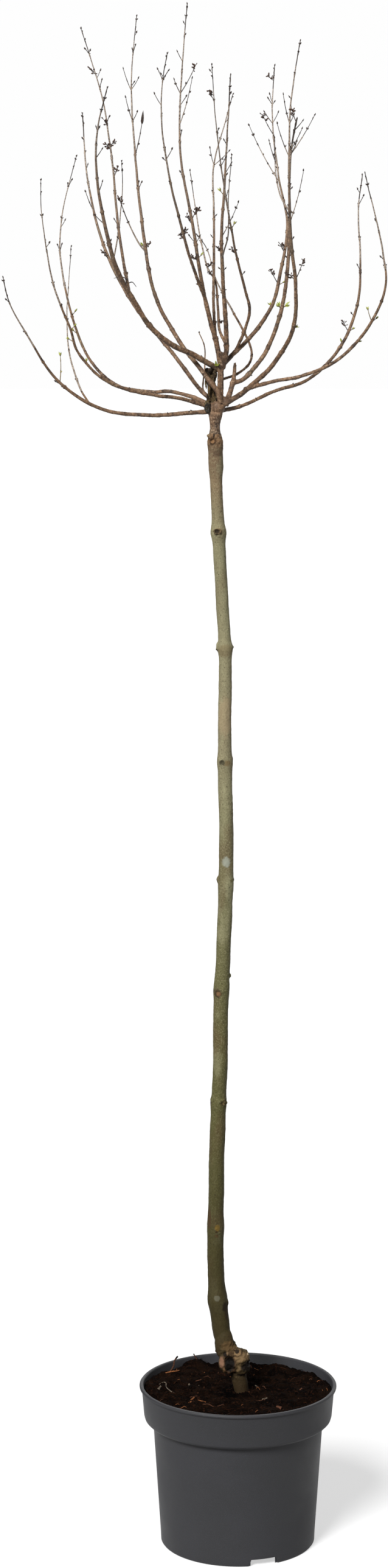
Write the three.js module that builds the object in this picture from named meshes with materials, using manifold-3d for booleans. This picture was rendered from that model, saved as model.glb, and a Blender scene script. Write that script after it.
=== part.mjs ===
// A standard lilac: a bushy crown grafted on a bare stem, in a round nursery pot, in early spring.
// Millimetres, +Z up, +Y to the back. The origin is the centre of the pot's flat underside.
import * as THREE from 'three';
import { mergeVertices } from 'three/addons/utils/BufferGeometryUtils.js';
import Module from 'manifold-3d';

const wasm = await Module();
wasm.setup();

const gap = 0.3;            // what neighbouring solids keep between them
const fork = new THREE.Vector3(-30, 0, 1609);   // the middle of the crotch, where the limbs part

const pot = {
  height: 230,
  rimRadius: 140,
  lipHeight: 5,
  collarTop: 137,
  collarFoot: 133.5,
  collarHeight: 48,
  collarRound: 4,
  neckRadius: 120.5,
  baseRadius: 109.5,
  baseRound: 2,
  wall: 2.6,
  floor: 3,
  facets: 48,
  notches: 3,
  notchWidth: 52,
  notchHeight: 10,
  notchTurn: 19,            // degrees from the front to the middle of the first notch
};

const soil = {
  edgeHeight: 216,
  seatHeight: 220,
  seatRadius: 20,
  bump: 1.6,
  rings: 3,
};

// The stem's line, [right, back, height], from the soil to the crotch.
const stemLine = [
  [5, 0, 220.3], [-5, 1, 262], [-20, 3, 294], [-28, 3, 345], [-31, 0, 467], [-27, -3, 640],
  [-20, -4, 930], [-19, 0, 1200], [-25, 3, 1370], [-33, 2, 1540], [-34, 1, 1585], [-33, 0, 1601],
];
const stem = {
  footRadius: 12.6,
  middleRadius: 9.4,
  topRadius: 7.4,
  rings: 22,
  sides: 10,
  closest: 8,               // least height between two rings
  headShare: 0.94,          // the part of its line above this lies in the crotch
  cutBlock: 200,            // the block that cuts it flat at the soil
};
// Swellings of the stem: [height, how much the radius grows, how far up and down it spreads].
const swellings = [
  [228, 2.5, 12], [352, 2, 14], [458, 1, 12], [639, 1.4, 10], [802, 1, 12], [950, 1, 14], [1122, 1.4, 10],
  [1279, 2.4, 9], [1438, 2.4, 10], [1542, 2.4, 22], [1601, 2.4, 10],
];
// Burrs, scars and short snags fused to the stem: [toward, height, reach of the middle, half sizes].
const burrs = [
  { toward: 268, height: 270, reach: 4, size: [16, 24, 19] },
  { toward: 20, height: 250, reach: 9, size: [12, 11, 13] },
  { toward: 312, height: 280, reach: 20, size: [7, 7, 7] },
  { toward: 320, height: 233, reach: 8, size: [8, 8, 12] },
  { toward: 190, height: 353, reach: 12, size: [4, 3, 5] },
  { toward: 350, height: 351, reach: 12, size: [4, 3, 4] },
  { toward: 0, height: 640, reach: 11, size: [5, 3, 4] },
  { toward: 255, height: 803, reach: 9, size: [5, 3.5, 6] },
  { toward: 275, height: 1122, reach: 9, size: [4, 4, 6] },
  { toward: 182, height: 1279, reach: 10, size: [4.5, 3, 4] },
  { toward: 355, height: 1280, reach: 10, size: [4.5, 3, 3.5] },
  { toward: 262, height: 1439, reach: 8, size: [5.5, 4, 7] },
];
// The crotch: a knuckle of old wood that the limbs spring from, with a healed cut on its left.
const knuckle = { toward: 180, out: 2, up: -4, size: [14, 12, 12] };
const healedCut = { toward: 213, out: 16, up: -3, size: [6.5, 7, 10] };

// A limb's bends are [toward, out, up] about the fork: degrees anticlockwise from the right, then
// millimetres. Its diameters are at the foot, where the bough gives way to twigs, and at the tip.
// boughEnd is the height at which the bough ends. Its twigs are [up, toward, rise, length, end].
const limbs = {
  centre: {
    bends: [[0, 3, 6], [328, 4, 38], [309, 5, 60], [285, 7, 74]],
    thick: [10.5, 11, 9],
  },
  front_right: {
    bends: [[336, 8, 3], [333, 31, 15], [329, 51, 28], [327, 88, 58], [322, 126, 105],
      [316, 142, 160], [308, 154, 222], [301, 178, 292], [299, 196, 348], [299, 208, 377]],
    thick: [7.4, 5, 3.1],
    boughEnd: 165,
    twigs: [[168, 175, 42, 12, 'seeds'], [168, 10, 68, 28, 'seeds'], [330, 40, 60, 22],
      [360, 20, 48, 20], [370, 160, 70, 16, 'seeds']],
  },
  low_right: {
    bends: [[330, 46, 25], [329, 86, 35], [333, 127, 43], [335, 175, 64], [337, 213, 103],
      [337, 240, 158], [336, 238, 205], [330, 221, 311]],
    thick: [5.4, 4.2, 1.6],
    boughEnd: 103,
    twigs: [[115, 170, 72, 18, 'leaf'], [114, 20, 35, 10, 'leaf'], [196, 170, 40, 8],
      [243, 200, 60, 8]],
  },
  right_back: {
    bends: [[32, 7, -5], [32, 38, 0], [32, 87, 18], [31, 150, 37], [30, 199, 82], [31, 228, 142],
      [32, 234, 205], [34, 236, 262], [35, 246, 318]],
    thick: [5.4, 4.5, 1.8],
    boughEnd: 95,
    twigs: [[97, 160, 60, 16, 'seeds'], [121, 165, 48, 8], [98, 30, 30, 9, 'leaf'],
      [290, 170, 60, 9]],
  },
  low_left: {
    bends: [[191, 8, -6], [188, 102, -11], [188, 160, -2], [189, 218, 35], [192, 267, 106],
      [193, 286, 139], [194, 296, 176]],
    thick: [6.2, 5, 1.8],
    boughEnd: 3,
    whips: [
      { up: 5, bends: [[181, 187, 25], [174, 203, 69], [168, 211, 114], [158, 217, 219]], thick: [3, 1.2] },
    ],
    twigs: [[33, 0, 89, 38, 'leaf'], [140, 200, 45, 8]],
  },
  left_front: {
    bends: [[194, 8, -1], [199, 36, 7], [201, 62, 13], [200, 90, 16], [198, 153, 33], [199, 198, 73],
      [201, 211, 104], [202, 225, 134], [202, 237, 167], [206, 259, 256], [207, 262, 302]],
    thick: [5.9, 3.6, 1.3],
    boughEnd: 80,
    twigs: [[88, 180, 30, 9, 'leaf'], [104, 10, 45, 9, 'leaf'], [212, 10, 55, 10]],
  },
  left_back: {
    bends: [[165, 8, 1], [160, 35, 12], [159, 71, 20], [159, 97, 19], [161, 147, 28], [162, 189, 69],
      [157, 234, 189], [154, 240, 253], [146, 235, 343]],
    thick: [6, 3.8, 1.3],
    boughEnd: 80,
    twigs: [[97, 175, 40, 9, 'leaf'], [242, 20, 58, 15], [122, 340, 50, 9, 'leaf']],
  },
  rear_left: {
    bends: [[130, 3, 6], [149, 20, 16], [140, 44, 34], [139, 70, 60], [141, 105, 94], [142, 135, 124],
      [142, 161, 155], [142, 189, 197], [141, 211, 236], [139, 240, 312], [135, 267, 404]],
    thick: [6, 4.8, 1.9],
    boughEnd: 180,
    whips: [{ up: 190, bends: [[143, 172, 232], [147, 156, 297], [155, 145, 333]], thick: [2.2, 1.2] }],
    twigs: [[198, 190, 50, 14, 'seeds'], [264, 185, 68, 33], [324, 30, 70, 9], [364, 200, 50, 6]],
  },
  inner_left: {
    bends: [[296, 7, 10], [268, 8, 21], [219, 14, 34], [192, 28, 56], [172, 48, 81], [158, 91, 146],
      [153, 113, 227], [148, 133, 339], [144, 146, 440], [138, 149, 530]],
    thick: [7, 4.7, 1.4],
    boughEnd: 205,
    whips: [
      {
        up: 208,
        bends: [[156, 118, 220], [160, 133, 255], [162, 141, 280]],
        thick: [2.6, 1.5],
        end: 'seeds',
      },
    ],
    twigs: [[210, 170, 55, 9, 'leaf'], [213, 10, 45, 9, 'seeds'], [293, 20, 64, 13],
      [339, 12, 79, 57, 'leaf'], [385, 178, 74, 36], [385, 25, 62, 17], [426, 190, 70, 34],
      [427, 15, 58, 21], [500, 30, 60, 8]],
  },
  dead: {
    bends: [[150, 3, 3], [155, 8, 20], [160, 9, 37], [161, 9, 51]],
    thick: [10, 12.5, 15],
  },
  rear_shoot: {
    bends: [[144, 10, 10], [144, 24, 21], [129, 31, 36], [119, 37, 52], [108, 58, 80],
      [110, 77, 101]],
    thick: [2.2, 1.9, 1.3],
  },
  front_left: {
    bends: [[228, 3, 52], [214, 21, 61], [212, 41, 71], [213, 76, 85], [210, 105, 108],
      [210, 128, 139], [212, 151, 169], [216, 176, 208], [221, 211, 302], [226, 227, 360],
      [233, 238, 416]],
    thick: [8, 6.4, 1.8],
    boughEnd: 178,
    twigs: [[242, 190, 44, 20], [283, 15, 70, 17], [326, 10, 56, 17], [360, 175, 75, 8],
      [360, 20, 60, 8]],
  },
  tall_left: {
    bends: [[210, 137, 151], [208, 139, 173], [201, 143, 240], [196, 147, 321], [193, 158, 406],
      [191, 174, 464], [189, 186, 503]],
    thick: [5, 4, 1.5],
    boughEnd: 196,
    twigs: [[221, 180, 55, 8], [305, 15, 70, 14, 'seeds'], [343, 190, 40, 7, 'seeds'],
      [346, 10, 45, 7, 'seeds'], [374, 190, 55, 7, 'seeds'], [435, 20, 66, 14],
      [440, 170, 40, 9, 'seeds'], [468, 30, 60, 6]],
  },
  leader: {
    bends: [[300, 4, 64], [247, 5, 86], [221, 12, 110], [211, 24, 159], [205, 38, 244],
      [202, 54, 331], [205, 56, 409], [216, 51, 535]],
    thick: [7.6, 5.2, 1.7],
    boughEnd: 172,
    twigs: [[195, 185, 40, 11, 'seeds'], [198, 15, 45, 8, 'leaf'], [243, 175, 55, 13, 'seeds'],
      [250, 330, 62, 15, 'seeds'], [375, 340, 74, 66], [415, 185, 66, 23], [416, 20, 60, 42, 'seeds'],
      [457, 190, 62, 17], [504, 175, 60, 7]],
  },
  inner_front: {
    bends: [[213, 20, 142], [229, 55, 194], [234, 86, 244], [235, 113, 303], [237, 136, 365],
      [241, 153, 418], [246, 164, 462]],
    thick: [4.6, 4, 1.6],
    boughEnd: 215,
    twigs: [[222, 190, 50, 9, 'seeds'], [228, 20, 60, 9, 'seeds'], [324, 175, 40, 8],
      [326, 10, 60, 18], [394, 185, 60, 20], [426, 20, 55, 8], [430, 180, 60, 7]],
  },
  rear_middle: {
    bends: [[240, 6, 88], [205, 4, 99], [115, 13, 123], [103, 27, 148], [96, 50, 194], [93, 98, 261],
      [92, 146, 327], [87, 186, 385], [84, 221, 432]],
    thick: [4.6, 3.9, 1.5],
    boughEnd: 178,
    twigs: [[226, 200, 50, 8], [256, 330, 40, 7], [328, 175, 78, 27], [328, 345, 42, 32],
      [388, 20, 50, 8]],
  },
  middle_front: {
    bends: [[339, 8, 56], [318, 15, 76], [310, 17, 98], [296, 23, 120], [286, 29, 145],
      [275, 50, 225], [277, 64, 289], [278, 81, 359], [279, 101, 438]],
    thick: [7.4, 5.2, 1.9],
    boughEnd: 175,
    whips: [{ up: 198, bends: [[278, 91, 230], [276, 121, 276], [276, 161, 332]], thick: [2.4, 1.3] }],
    twigs: [[181, 15, 45, 8], [182, 165, 40, 8], [206, 170, 45, 9, 'seeds'], [226, 25, 62, 55],
      [281, 200, 50, 9, 'leaf'], [305, 10, 55, 7], [347, 180, 60, 9], [409, 10, 60, 6]],
  },
  rear_inner: {
    bends: [[306, 15, 88], [0, 4, 98], [80, 9, 107], [90, 25, 136], [95, 46, 171], [103, 57, 184],
      [106, 79, 218], [106, 102, 253], [107, 132, 323]],
    thick: [4.8, 3.8, 1.4],
    boughEnd: 108,
    twigs: [[113, 0, 20, 6, 'seeds'], [176, 190, 45, 7, 'seeds'], [187, 0, 50, 7, 'seeds'],
      [262, 20, 50, 6, 'seeds']],
  },
  rear_sweep: {
    bends: [[30, 6, 36], [41, 38, 45], [45, 61, 57], [50, 73, 71], [62, 86, 92], [79, 114, 127],
      [90, 160, 168], [94, 215, 216], [97, 242, 237]],
    thick: [3.9, 3.3, 1.5],
    boughEnd: 95,
    twigs: [[156, 330, 10, 9]],
  },
  rear_right: {
    bends: [[343, 8, 57], [18, 20, 69], [24, 50, 95], [28, 84, 136], [33, 102, 180], [39, 123, 246],
      [50, 130, 314], [59, 147, 394], [62, 169, 467]],
    thick: [6.6, 5, 1.6],
    boughEnd: 150,
    twigs: [[165, 175, 62, 20, 'seeds'], [163, 20, 25, 10, 'leaf'], [208, 190, 60, 12, 'seeds'],
      [303, 165, 61, 92], [326, 185, 72, 38], [368, 195, 60, 30, 'seeds'], [384, 175, 55, 22],
      [385, 10, 62, 19], [412, 185, 74, 15], [443, 170, 40, 10, 'seeds']],
  },
  front_middle: {
    bends: [[21, 27, 77], [351, 38, 107], [337, 46, 131], [318, 49, 156], [291, 66, 204],
      [275, 106, 279], [269, 146, 357], [267, 190, 445]],
    thick: [4.6, 3.8, 1.3],
    boughEnd: 160,
    twigs: [[176, 20, 45, 8], [204, 190, 50, 8, 'seeds'], [236, 10, 60, 9, 'leaf'],
      [404, 170, 40, 9, 'seeds'], [432, 185, 50, 7]],
  },
  snag: {
    bends: [[5, 12, 6], [14, 18, 22], [18, 22, 36], [22, 25, 56]],
    thick: [7.4, 6.4, 4.4],
  },
  tall_right: {
    bends: [[18, 21, 32], [20, 35, 36], [22, 50, 48], [21, 71, 75], [25, 96, 130], [26, 106, 186],
      [28, 111, 258], [30, 112, 336], [30, 115, 413], [28, 127, 494]],
    thick: [6.6, 5.3, 1.7],
    boughEnd: 172,
    whips: [{ up: 262, bends: [[36, 105, 285], [42, 106, 320], [46, 112, 366]], thick: [2.4, 1.4] }],
    twigs: [[198, 170, 50, 7], [200, 10, 50, 7], [246, 345, 75, 76], [291, 10, 50, 7],
      [336, 170, 70, 50], [336, 350, 58, 68], [342, 20, 60, 40], [380, 175, 78, 43],
      [381, 10, 64, 16], [413, 175, 50, 6]],
  },
};

// Every limb swells a little where it springs from older wood.
const collar = { flare: 0.25, reach: 12 };

// How far apart the pairs of buds sit on a twig, and what twigs end in: seed heads left from last
// year, or buds that have burst into leaf.
const internode = 46;
const seedHead = { lumps: 2, radius: 3.8, spread: 5, sunk: 0.6 };
const leafBud = { length: 13, width: 5.5, thick: 3, spread: 32, sunk: 0.14 };
const spur = { share: 0.16, shortest: 7, longest: 20, rise: 20, foot: 2, tip: 1.2, tipClear: 12 };
const twig = { foot: 2.4, tip: 1.3, lift: 6, mostOfStem: 0.8 };
const elbowRoom = 1.2;      // clear space a twig keeps from every other limb and twig

// How finely limbs are drawn: the length of a step along them and the sides of their section.
const fine = {
  bough: { stride: 26, sides: 7 },
  stem: { stride: 34, sides: 5 },
  twig: { stride: 24, sides: 3 },
  room: { stride: 12, sides: 3 },
  heightSteps: 400,
};

const colours = {
  pot: 0x3e3e41,
  soil: 0x2a1c14,
  stem: 0x6f6350,
  dead: 0x2c241b,
  bough: 0x6b5140,
  twig: 0x4d3a2d,
};

function radians(degrees) {
  return THREE.MathUtils.degToRad(degrees);
}

// Even-handed pseudo-random numbers from 0 to 1 (mulberry32), the same on every run.
function randomFrom(seed) {
  let state = seed;
  return () => {
    state = (state + 0x6d2b79f5) | 0;
    let mixed = Math.imul(state ^ (state >>> 15), 1 | state);
    mixed = (mixed + Math.imul(mixed ^ (mixed >>> 7), 61 | mixed)) ^ mixed;
    return ((mixed ^ (mixed >>> 14)) >>> 0) / 4294967296;
  };
}

function heading(toward, rise) {
  const level = Math.cos(radians(rise));
  return new THREE.Vector3(
    level * Math.cos(radians(toward)),
    level * Math.sin(radians(toward)),
    Math.sin(radians(rise)),
  );
}

function aboutFork([toward, out, up]) {
  return heading(toward, 0).multiplyScalar(out).add(fork).add(new THREE.Vector3(0, 0, up));
}

// three.js geometry to a solid and back. Only the positions matter to the solid.
function solidOf(geometry) {
  const bare = new THREE.BufferGeometry();
  bare.setAttribute('position', geometry.getAttribute('position'));
  if (geometry.index) bare.setIndex(geometry.index);
  const merged = mergeVertices(bare, 1e-4);
  return new wasm.Manifold(new wasm.Mesh({
    numProp: 3,
    vertProperties: Float32Array.from(merged.getAttribute('position').array),
    triVerts: Uint32Array.from(merged.index.array),
  }));
}

function geometryOf(solid) {
  const mesh = solid.getMesh();
  const geometry = new THREE.BufferGeometry();
  geometry.setAttribute('position', new THREE.BufferAttribute(Float32Array.from(mesh.vertProperties), 3));
  geometry.setIndex(Array.from(mesh.triVerts));
  const faceted = geometry.toNonIndexed();
  faceted.computeVertexNormals();
  return faceted;
}

// Keeps the largest body, so that no scrap of a cut is left beside it.
function largestBody(solid) {
  return solid.decompose().sort((a, b) => b.volume() - a.volume())[0];
}

function joined(solids) {
  return solids.reduce((whole, piece) => whole.add(piece));
}

// A closed tapering tube: a cylinder whose rings are carried along the line and sized one by one.
function tube(line, radii, sides) {
  const steps = line.length - 1;
  const geometry = new THREE.CylinderGeometry(1, 1, 1, sides, steps);
  const across = [new THREE.Vector3(0, 1, 0).cross(line[0].ahead)];
  if (across[0].length() < 0.1) across[0].set(1, 0, 0).cross(line[0].ahead);
  across[0].normalize();
  for (let i = 1; i <= steps; i += 1) {
    across.push(across[i - 1].clone().projectOnPlane(line[i].ahead).normalize());
  }
  const position = geometry.getAttribute('position');
  for (let i = 0; i < position.count; i += 1) {
    const ring = Math.round((position.getY(i) + 0.5) * steps);
    const side = line[ring].ahead.clone().cross(across[ring]);
    const point = line[ring].at.clone();
    point.addScaledVector(side, position.getX(i) * radii[ring]);
    point.addScaledVector(across[ring], position.getZ(i) * radii[ring]);
    position.setXYZ(i, point.x, point.y, point.z);
  }
  return solidOf(geometry);
}

// Part of a curve as places on it, one about every stride millimetres, and the way ahead at each.
function lineBetween(curve, start, end, stride) {
  const steps = Math.max(1, Math.round((curve.getLength() * (end - start)) / stride));
  return Array.from({ length: steps + 1 }, (_, i) => placeOn(curve, start + ((end - start) * i) / steps));
}

function placeOn(curve, share) {
  const inside = Math.min(share, 1);
  return { at: curve.getPointAt(inside), ahead: curve.getTangentAt(inside) };
}

function straightLine(start, end) {
  return lineBetween(new THREE.LineCurve3(start, end), 0, 1, Infinity);
}

function taper(count, first, last) {
  return Array.from({ length: count }, (_, i) => first + ((last - first) * i) / (count - 1));
}

// An egg-shaped lump with its half sizes along the heading, across it and up.
function lump(centre, [ahead, wide, high], toward, detail = 0) {
  const geometry = new THREE.IcosahedronGeometry(1, detail);
  geometry.scale(ahead, wide, high);
  geometry.rotateZ(radians(toward));
  geometry.translate(centre.x, centre.y, centre.z);
  return solidOf(geometry);
}

// The pot: one turned shell with a stepped collar, a thin lip and drain notches cut in its foot.
function makePot() {
  const collarFootHeight = pot.height - pot.collarHeight;
  const outside = [
    [0, 0],
    [pot.baseRadius - pot.baseRound, 0],
    [pot.baseRadius, pot.baseRound],
    [pot.neckRadius, collarFootHeight],
    [pot.collarFoot - pot.collarRound, collarFootHeight],
    [pot.collarFoot, collarFootHeight + pot.collarRound],
    [pot.collarTop, pot.height - pot.lipHeight],
    [pot.rimRadius, pot.height - pot.lipHeight + 1],
    [pot.rimRadius, pot.height],
  ];
  const inside = [
    [pot.collarTop - pot.wall, pot.height],
    [pot.collarFoot - pot.wall, collarFootHeight + pot.collarRound],
    [pot.neckRadius - pot.wall, collarFootHeight + pot.wall],
    [pot.baseRadius - pot.wall, pot.floor],
    [0, pot.floor],
  ];
  const profile = [...outside, ...inside].map(([radius, height]) => new THREE.Vector2(radius, height));
  let shell = solidOf(turned(profile));
  for (let i = 0; i < pot.notches; i += 1) {
    const turn = radians(-90 + pot.notchTurn + (360 / pot.notches) * i);
    const notch = new THREE.BoxGeometry(pot.wall * 3, pot.notchWidth, pot.notchHeight * 2);
    notch.translate(pot.baseRadius, 0, 0);
    notch.rotateZ(turn);
    shell = shell.subtract(solidOf(notch));
  }
  return largestBody(shell);
}

// A profile of [radius, height] turned about the upright axis.
function turned(profile) {
  const geometry = new THREE.LatheGeometry(profile, pot.facets);
  geometry.rotateX(Math.PI / 2);
  return geometry;
}

// The soil fills the pot to just under its rim, rises a little to the stem and is flat beneath it.
function makeSoil() {
  const collarFootHeight = pot.height - pot.collarHeight;
  const clear = pot.wall + gap;
  const insideNotch = pot.baseRadius - clear - pot.wall * 1.5;
  const slope = (pot.collarTop - pot.collarFoot) / (pot.collarHeight - pot.collarRound);
  const upCollar = soil.edgeHeight - collarFootHeight - pot.collarRound;
  const edgeRadius = pot.collarFoot - clear + upCollar * slope;
  const profile = [
    [0, pot.floor + gap],
    [insideNotch, pot.floor + gap],
    [insideNotch, pot.notchHeight + gap],
    [pot.baseRadius - clear, pot.notchHeight + gap],
    [pot.neckRadius - clear, collarFootHeight + pot.wall],
    [pot.collarFoot - clear, collarFootHeight + pot.collarRound + gap],
    [edgeRadius, soil.edgeHeight],
  ];
  for (let ring = soil.rings; ring >= 0; ring -= 1) {
    const share = ring / (soil.rings + 1);
    profile.push([
      soil.seatRadius + (edgeRadius - soil.seatRadius) * share,
      soil.seatHeight + (soil.edgeHeight - soil.seatHeight) * share,
    ]);
  }
  profile.push([0, soil.seatHeight]);
  const geometry = new THREE.LatheGeometry(profile.map(([r, h]) => new THREE.Vector2(r, h)), pot.facets);
  geometry.rotateX(Math.PI / 2);
  const position = geometry.getAttribute('position');
  for (let i = 0; i < position.count; i += 1) {
    const radius = Math.hypot(position.getX(i), position.getY(i));
    const angle = Math.atan2(position.getY(i), position.getX(i));
    const height = position.getZ(i);
    const onTop = height > soil.edgeHeight + 0.1 && radius > soil.seatRadius + 1;
    const lift = soil.bump * Math.sin(3 * angle + radius / 9) * Math.cos(7 * angle - radius / 14);
    if (onTop) position.setZ(i, height + lift);
  }
  return largestBody(solidOf(geometry));
}

function bentCurve(points) {
  return new THREE.CatmullRomCurve3(points, false, 'centripetal');
}

function stemCurve() {
  return bentCurve(stemLine.map((point) => new THREE.Vector3(...point)));
}

function stemRadius(height) {
  const share = THREE.MathUtils.clamp((height - stemLine[0][2]) / (fork.z - stemLine[0][2]), 0, 1);
  const plain = share < 0.5
    ? THREE.MathUtils.lerp(stem.footRadius, stem.middleRadius, share * 2)
    : THREE.MathUtils.lerp(stem.middleRadius, stem.topRadius, share * 2 - 1);
  const swell = swellings.reduce((sum, [middle, extra, spread]) => (
    sum + extra * Math.exp(-(((height - middle) / spread) ** 2))
  ), 0);
  return plain + swell;
}

// The stem, cut flat at the soil, with its burrs and the knuckle at its head.
function makeTrunk() {
  const curve = stemCurve();
  const line = lineBetween(curve, 0, 1, curve.getLength() / stem.rings);
  const swollen = swellings.flatMap(([height, , spread]) => [height - spread, height, height + spread]);
  const rings = [...line, ...swollen.map((height) => placeOn(curve, shareAtHeight(curve, height)))];
  rings.sort((a, b) => a.at.z - b.at.z);
  const spaced = rings.filter((ring, i) => i === 0 || ring.at.z - rings[i - 1].at.z > stem.closest);
  if (spaced.at(-1) !== rings.at(-1)) spaced.push(rings.at(-1));
  const pieces = [tube(spaced, spaced.map((ring) => stemRadius(ring.at.z)), stem.sides)];
  for (const burr of burrs) {
    const middle = placeOn(curve, shareAtHeight(curve, burr.height)).at;
    middle.addScaledVector(heading(burr.toward, 0), burr.reach);
    pieces.push(lump(middle, burr.size, burr.toward, burr.size[0] > 10 ? 1 : 0));
  }
  pieces.push(...headLumps(0));
  const below = new THREE.BoxGeometry(stem.cutBlock, stem.cutBlock, stem.cutBlock);
  below.translate(0, 0, soil.seatHeight + gap - stem.cutBlock / 2);
  return largestBody(joined(pieces).subtract(solidOf(below)));
}

function headLumps(extra) {
  return [[knuckle, 1], [healedCut, 0]].map(([{ toward, out, up, size }, detail]) => (
    lump(aboutFork([toward, out, up]), size.map((half) => half + extra), toward, detail)
  ));
}

// The share of a curve at which it first rises past a height, looking on from the share given.
function shareAtHeight(curve, height, from = 0) {
  for (let i = 0; i <= fine.heightSteps; i += 1) {
    const share = from + ((1 - from) * i) / fine.heightSteps;
    if (curve.getPointAt(share).z >= height) return share;
  }
  return 1;
}

// Everything that already takes up room, as straight rods with their radius.
const taken = [];

function takeRoom(owner, line, radii) {
  for (let i = 1; i < line.length; i += 1) {
    const middle = new THREE.Line3(line[i - 1].at, line[i].at);
    taken.push({ owner, middle, radius: Math.max(radii[i - 1], radii[i]) });
  }
}

const nearest = new THREE.Vector3();

function hasRoom(owner, line, radius) {
  return line.every(({ at }, i) => i === 0 || taken.every((rod) => {
    if (rod.owner === owner) return true;
    rod.middle.closestPointToPoint(at, true, nearest);
    return nearest.distanceTo(at) > rod.radius + radius + elbowRoom;
  }));
}

// The line of a limb, and how thick it is at each share of its length.
function shapeLimb(name, limb) {
  const curve = bentCurve(limb.bends.map(aboutFork));
  const split = limb.boughEnd === undefined ? 1 : shareAtHeight(curve, fork.z + limb.boughEnd);
  const [foot, middle, tip] = limb.thick.map((thickness) => thickness / 2);
  const turnPoint = limb.boughEnd === undefined ? 0.5 : split;
  const length = curve.getLength();
  const radiusAt = (share) => {
    const flare = 1 + collar.flare * Math.exp(-((share * length) / collar.reach));
    return flare * (share < turnPoint
      ? THREE.MathUtils.lerp(foot, middle, share / turnPoint)
      : THREE.MathUtils.lerp(middle, tip, (share - turnPoint) / (1 - turnPoint)));
  };
  return { name, curve, split, radiusAt };
}

function limbTube(shape, start, end, { stride, sides }, extra = 0) {
  const line = lineBetween(shape.curve, start, end, stride);
  const radii = line.map((_, i) => shape.radiusAt(start + ((end - start) * i) / (line.length - 1)) + extra);
  return { line, radii, solid: tube(line, radii, sides) };
}

// A bough is cut clear of what it grows from and of the limbs beside it at the crotch.
function makeBough(shape, neighbours) {
  let bough = limbTube(shape, 0, shape.split, fine.bough).solid;
  for (const neighbour of neighbours) bough = bough.subtract(neighbour);
  return largestBody(bough);
}

function twigCurve(base, toward, rise, length) {
  const middle = base.clone().addScaledVector(heading(toward, rise - twig.lift), length / 2);
  const tip = base.clone().addScaledVector(heading(toward, rise), length);
  return new THREE.QuadraticBezierCurve3(base, middle, tip);
}

// What a twig ends in: a bud, last year's seed head or a bud that has burst.
function twigEnd(kind, { at, ahead }, random) {
  if (kind === 'seeds') {
    return Array.from({ length: seedHead.lumps }, (_, i) => {
      const middle = at.clone().addScaledVector(ahead, (i - seedHead.sunk) * seedHead.spread);
      middle.x += (random() - 0.5) * seedHead.spread;
      middle.y += (random() - 0.5) * seedHead.spread;
      const grain = new THREE.OctahedronGeometry(seedHead.radius, 0);
      grain.rotateZ(random() * Math.PI);
      grain.translate(middle.x, middle.y, middle.z);
      return solidOf(grain);
    });
  }
  if (kind === 'leaf') {
    return [-1, 1].map((side) => {
      const lean = ahead.clone().applyAxisAngle(new THREE.Vector3(0, 1, 0), radians(leafBud.spread * side));
      const blade = new THREE.OctahedronGeometry(1, 0);
      blade.scale(leafBud.thick / 2, leafBud.length / 2, leafBud.width / 2);
      const turn = new THREE.Quaternion().setFromUnitVectors(new THREE.Vector3(0, 1, 0), lean);
      blade.applyQuaternion(turn);
      const middle = at.clone().addScaledVector(lean, leafBud.length * (0.5 - leafBud.sunk));
      blade.translate(middle.x, middle.y, middle.z);
      return solidOf(blade);
    });
  }
  return [];
}

// One mass of the bare crown: the rest of a limb's stem with the whips, twigs and buds it carries.
function makeTwigs(shape, limb, seed) {
  const random = randomFrom(seed);
  const length = shape.curve.getLength();
  const start = shape.split + gap / length;
  const main = limbTube(shape, start, 1, fine.stem);
  const pieces = [main.solid];
  const stems = [{ curve: shape.curve, from: start }];
  for (const whip of limb.whips ?? []) {
    const base = shape.curve.getPointAt(shareAtHeight(shape.curve, fork.z + whip.up, shape.split));
    const curve = bentCurve([base, ...whip.bends.map(aboutFork)]);
    const line = lineBetween(curve, 0, 1, fine.stem.stride);
    const radii = taper(line.length, whip.thick[0] / 2, whip.thick[1] / 2);
    pieces.push(tube(line, radii, fine.twig.sides));
    takeRoom(shape.name, line, radii);
    pieces.push(...twigEnd(whip.end, line.at(-1), random));
    stems.push({ curve, from: 0 });
  }
  for (const [up, toward, rise, reach, end] of limb.twigs ?? []) {
    const share = shareAtHeight(shape.curve, fork.z + up, shape.split + (2 * twig.foot) / length);
    const curve = twigCurve(shape.curve.getPointAt(share), toward, rise, reach);
    const line = lineBetween(curve, 0, 1, fine.twig.stride);
    const foot = Math.min(twig.foot / 2, shape.radiusAt(share) * twig.mostOfStem);
    if (!hasRoom(shape.name, line, foot)) continue;
    const radii = taper(line.length, foot, twig.tip / 2);
    pieces.push(tube(line, radii, fine.twig.sides));
    pieces.push(...twigEnd(end, line.at(-1), random));
    takeRoom(shape.name, line, radii);
  }
  for (const { curve, from } of stems) pieces.push(...spursAlong(curve, from, shape.name, random));
  return largestBody(joined(pieces));
}

// Buds sit in pairs down a stem, each pair turned a quarter from the last. Here and there one of
// them has grown out to a spur.
function spursAlong(curve, from, owner, random) {
  const pieces = [];
  const radii = [spur.foot / 2, spur.tip / 2];
  const length = curve.getLength();
  let turn = random() * 180;
  for (let run = internode; run < (1 - from) * length - spur.tipClear; run += internode) {
    const { at, ahead } = placeOn(curve, from + run / length);
    turn += 90;
    for (const side of [0, 180]) {
      const grows = random() < spur.share;
      const reach = THREE.MathUtils.lerp(spur.shortest, spur.longest, random());
      const out = heading(turn + side, spur.rise).add(ahead).normalize();
      const line = straightLine(at, at.clone().addScaledVector(out, reach));
      if (!grows || !hasRoom(owner, line, radii[0])) continue;
      pieces.push(tube(line, radii, fine.twig.sides));
      takeRoom(owner, line, radii);
    }
  }
  return pieces;
}

function material(colour, roughness) {
  return new THREE.MeshStandardMaterial({ color: colour, roughness, metalness: 0 });
}

const plant = new THREE.Group();

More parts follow.
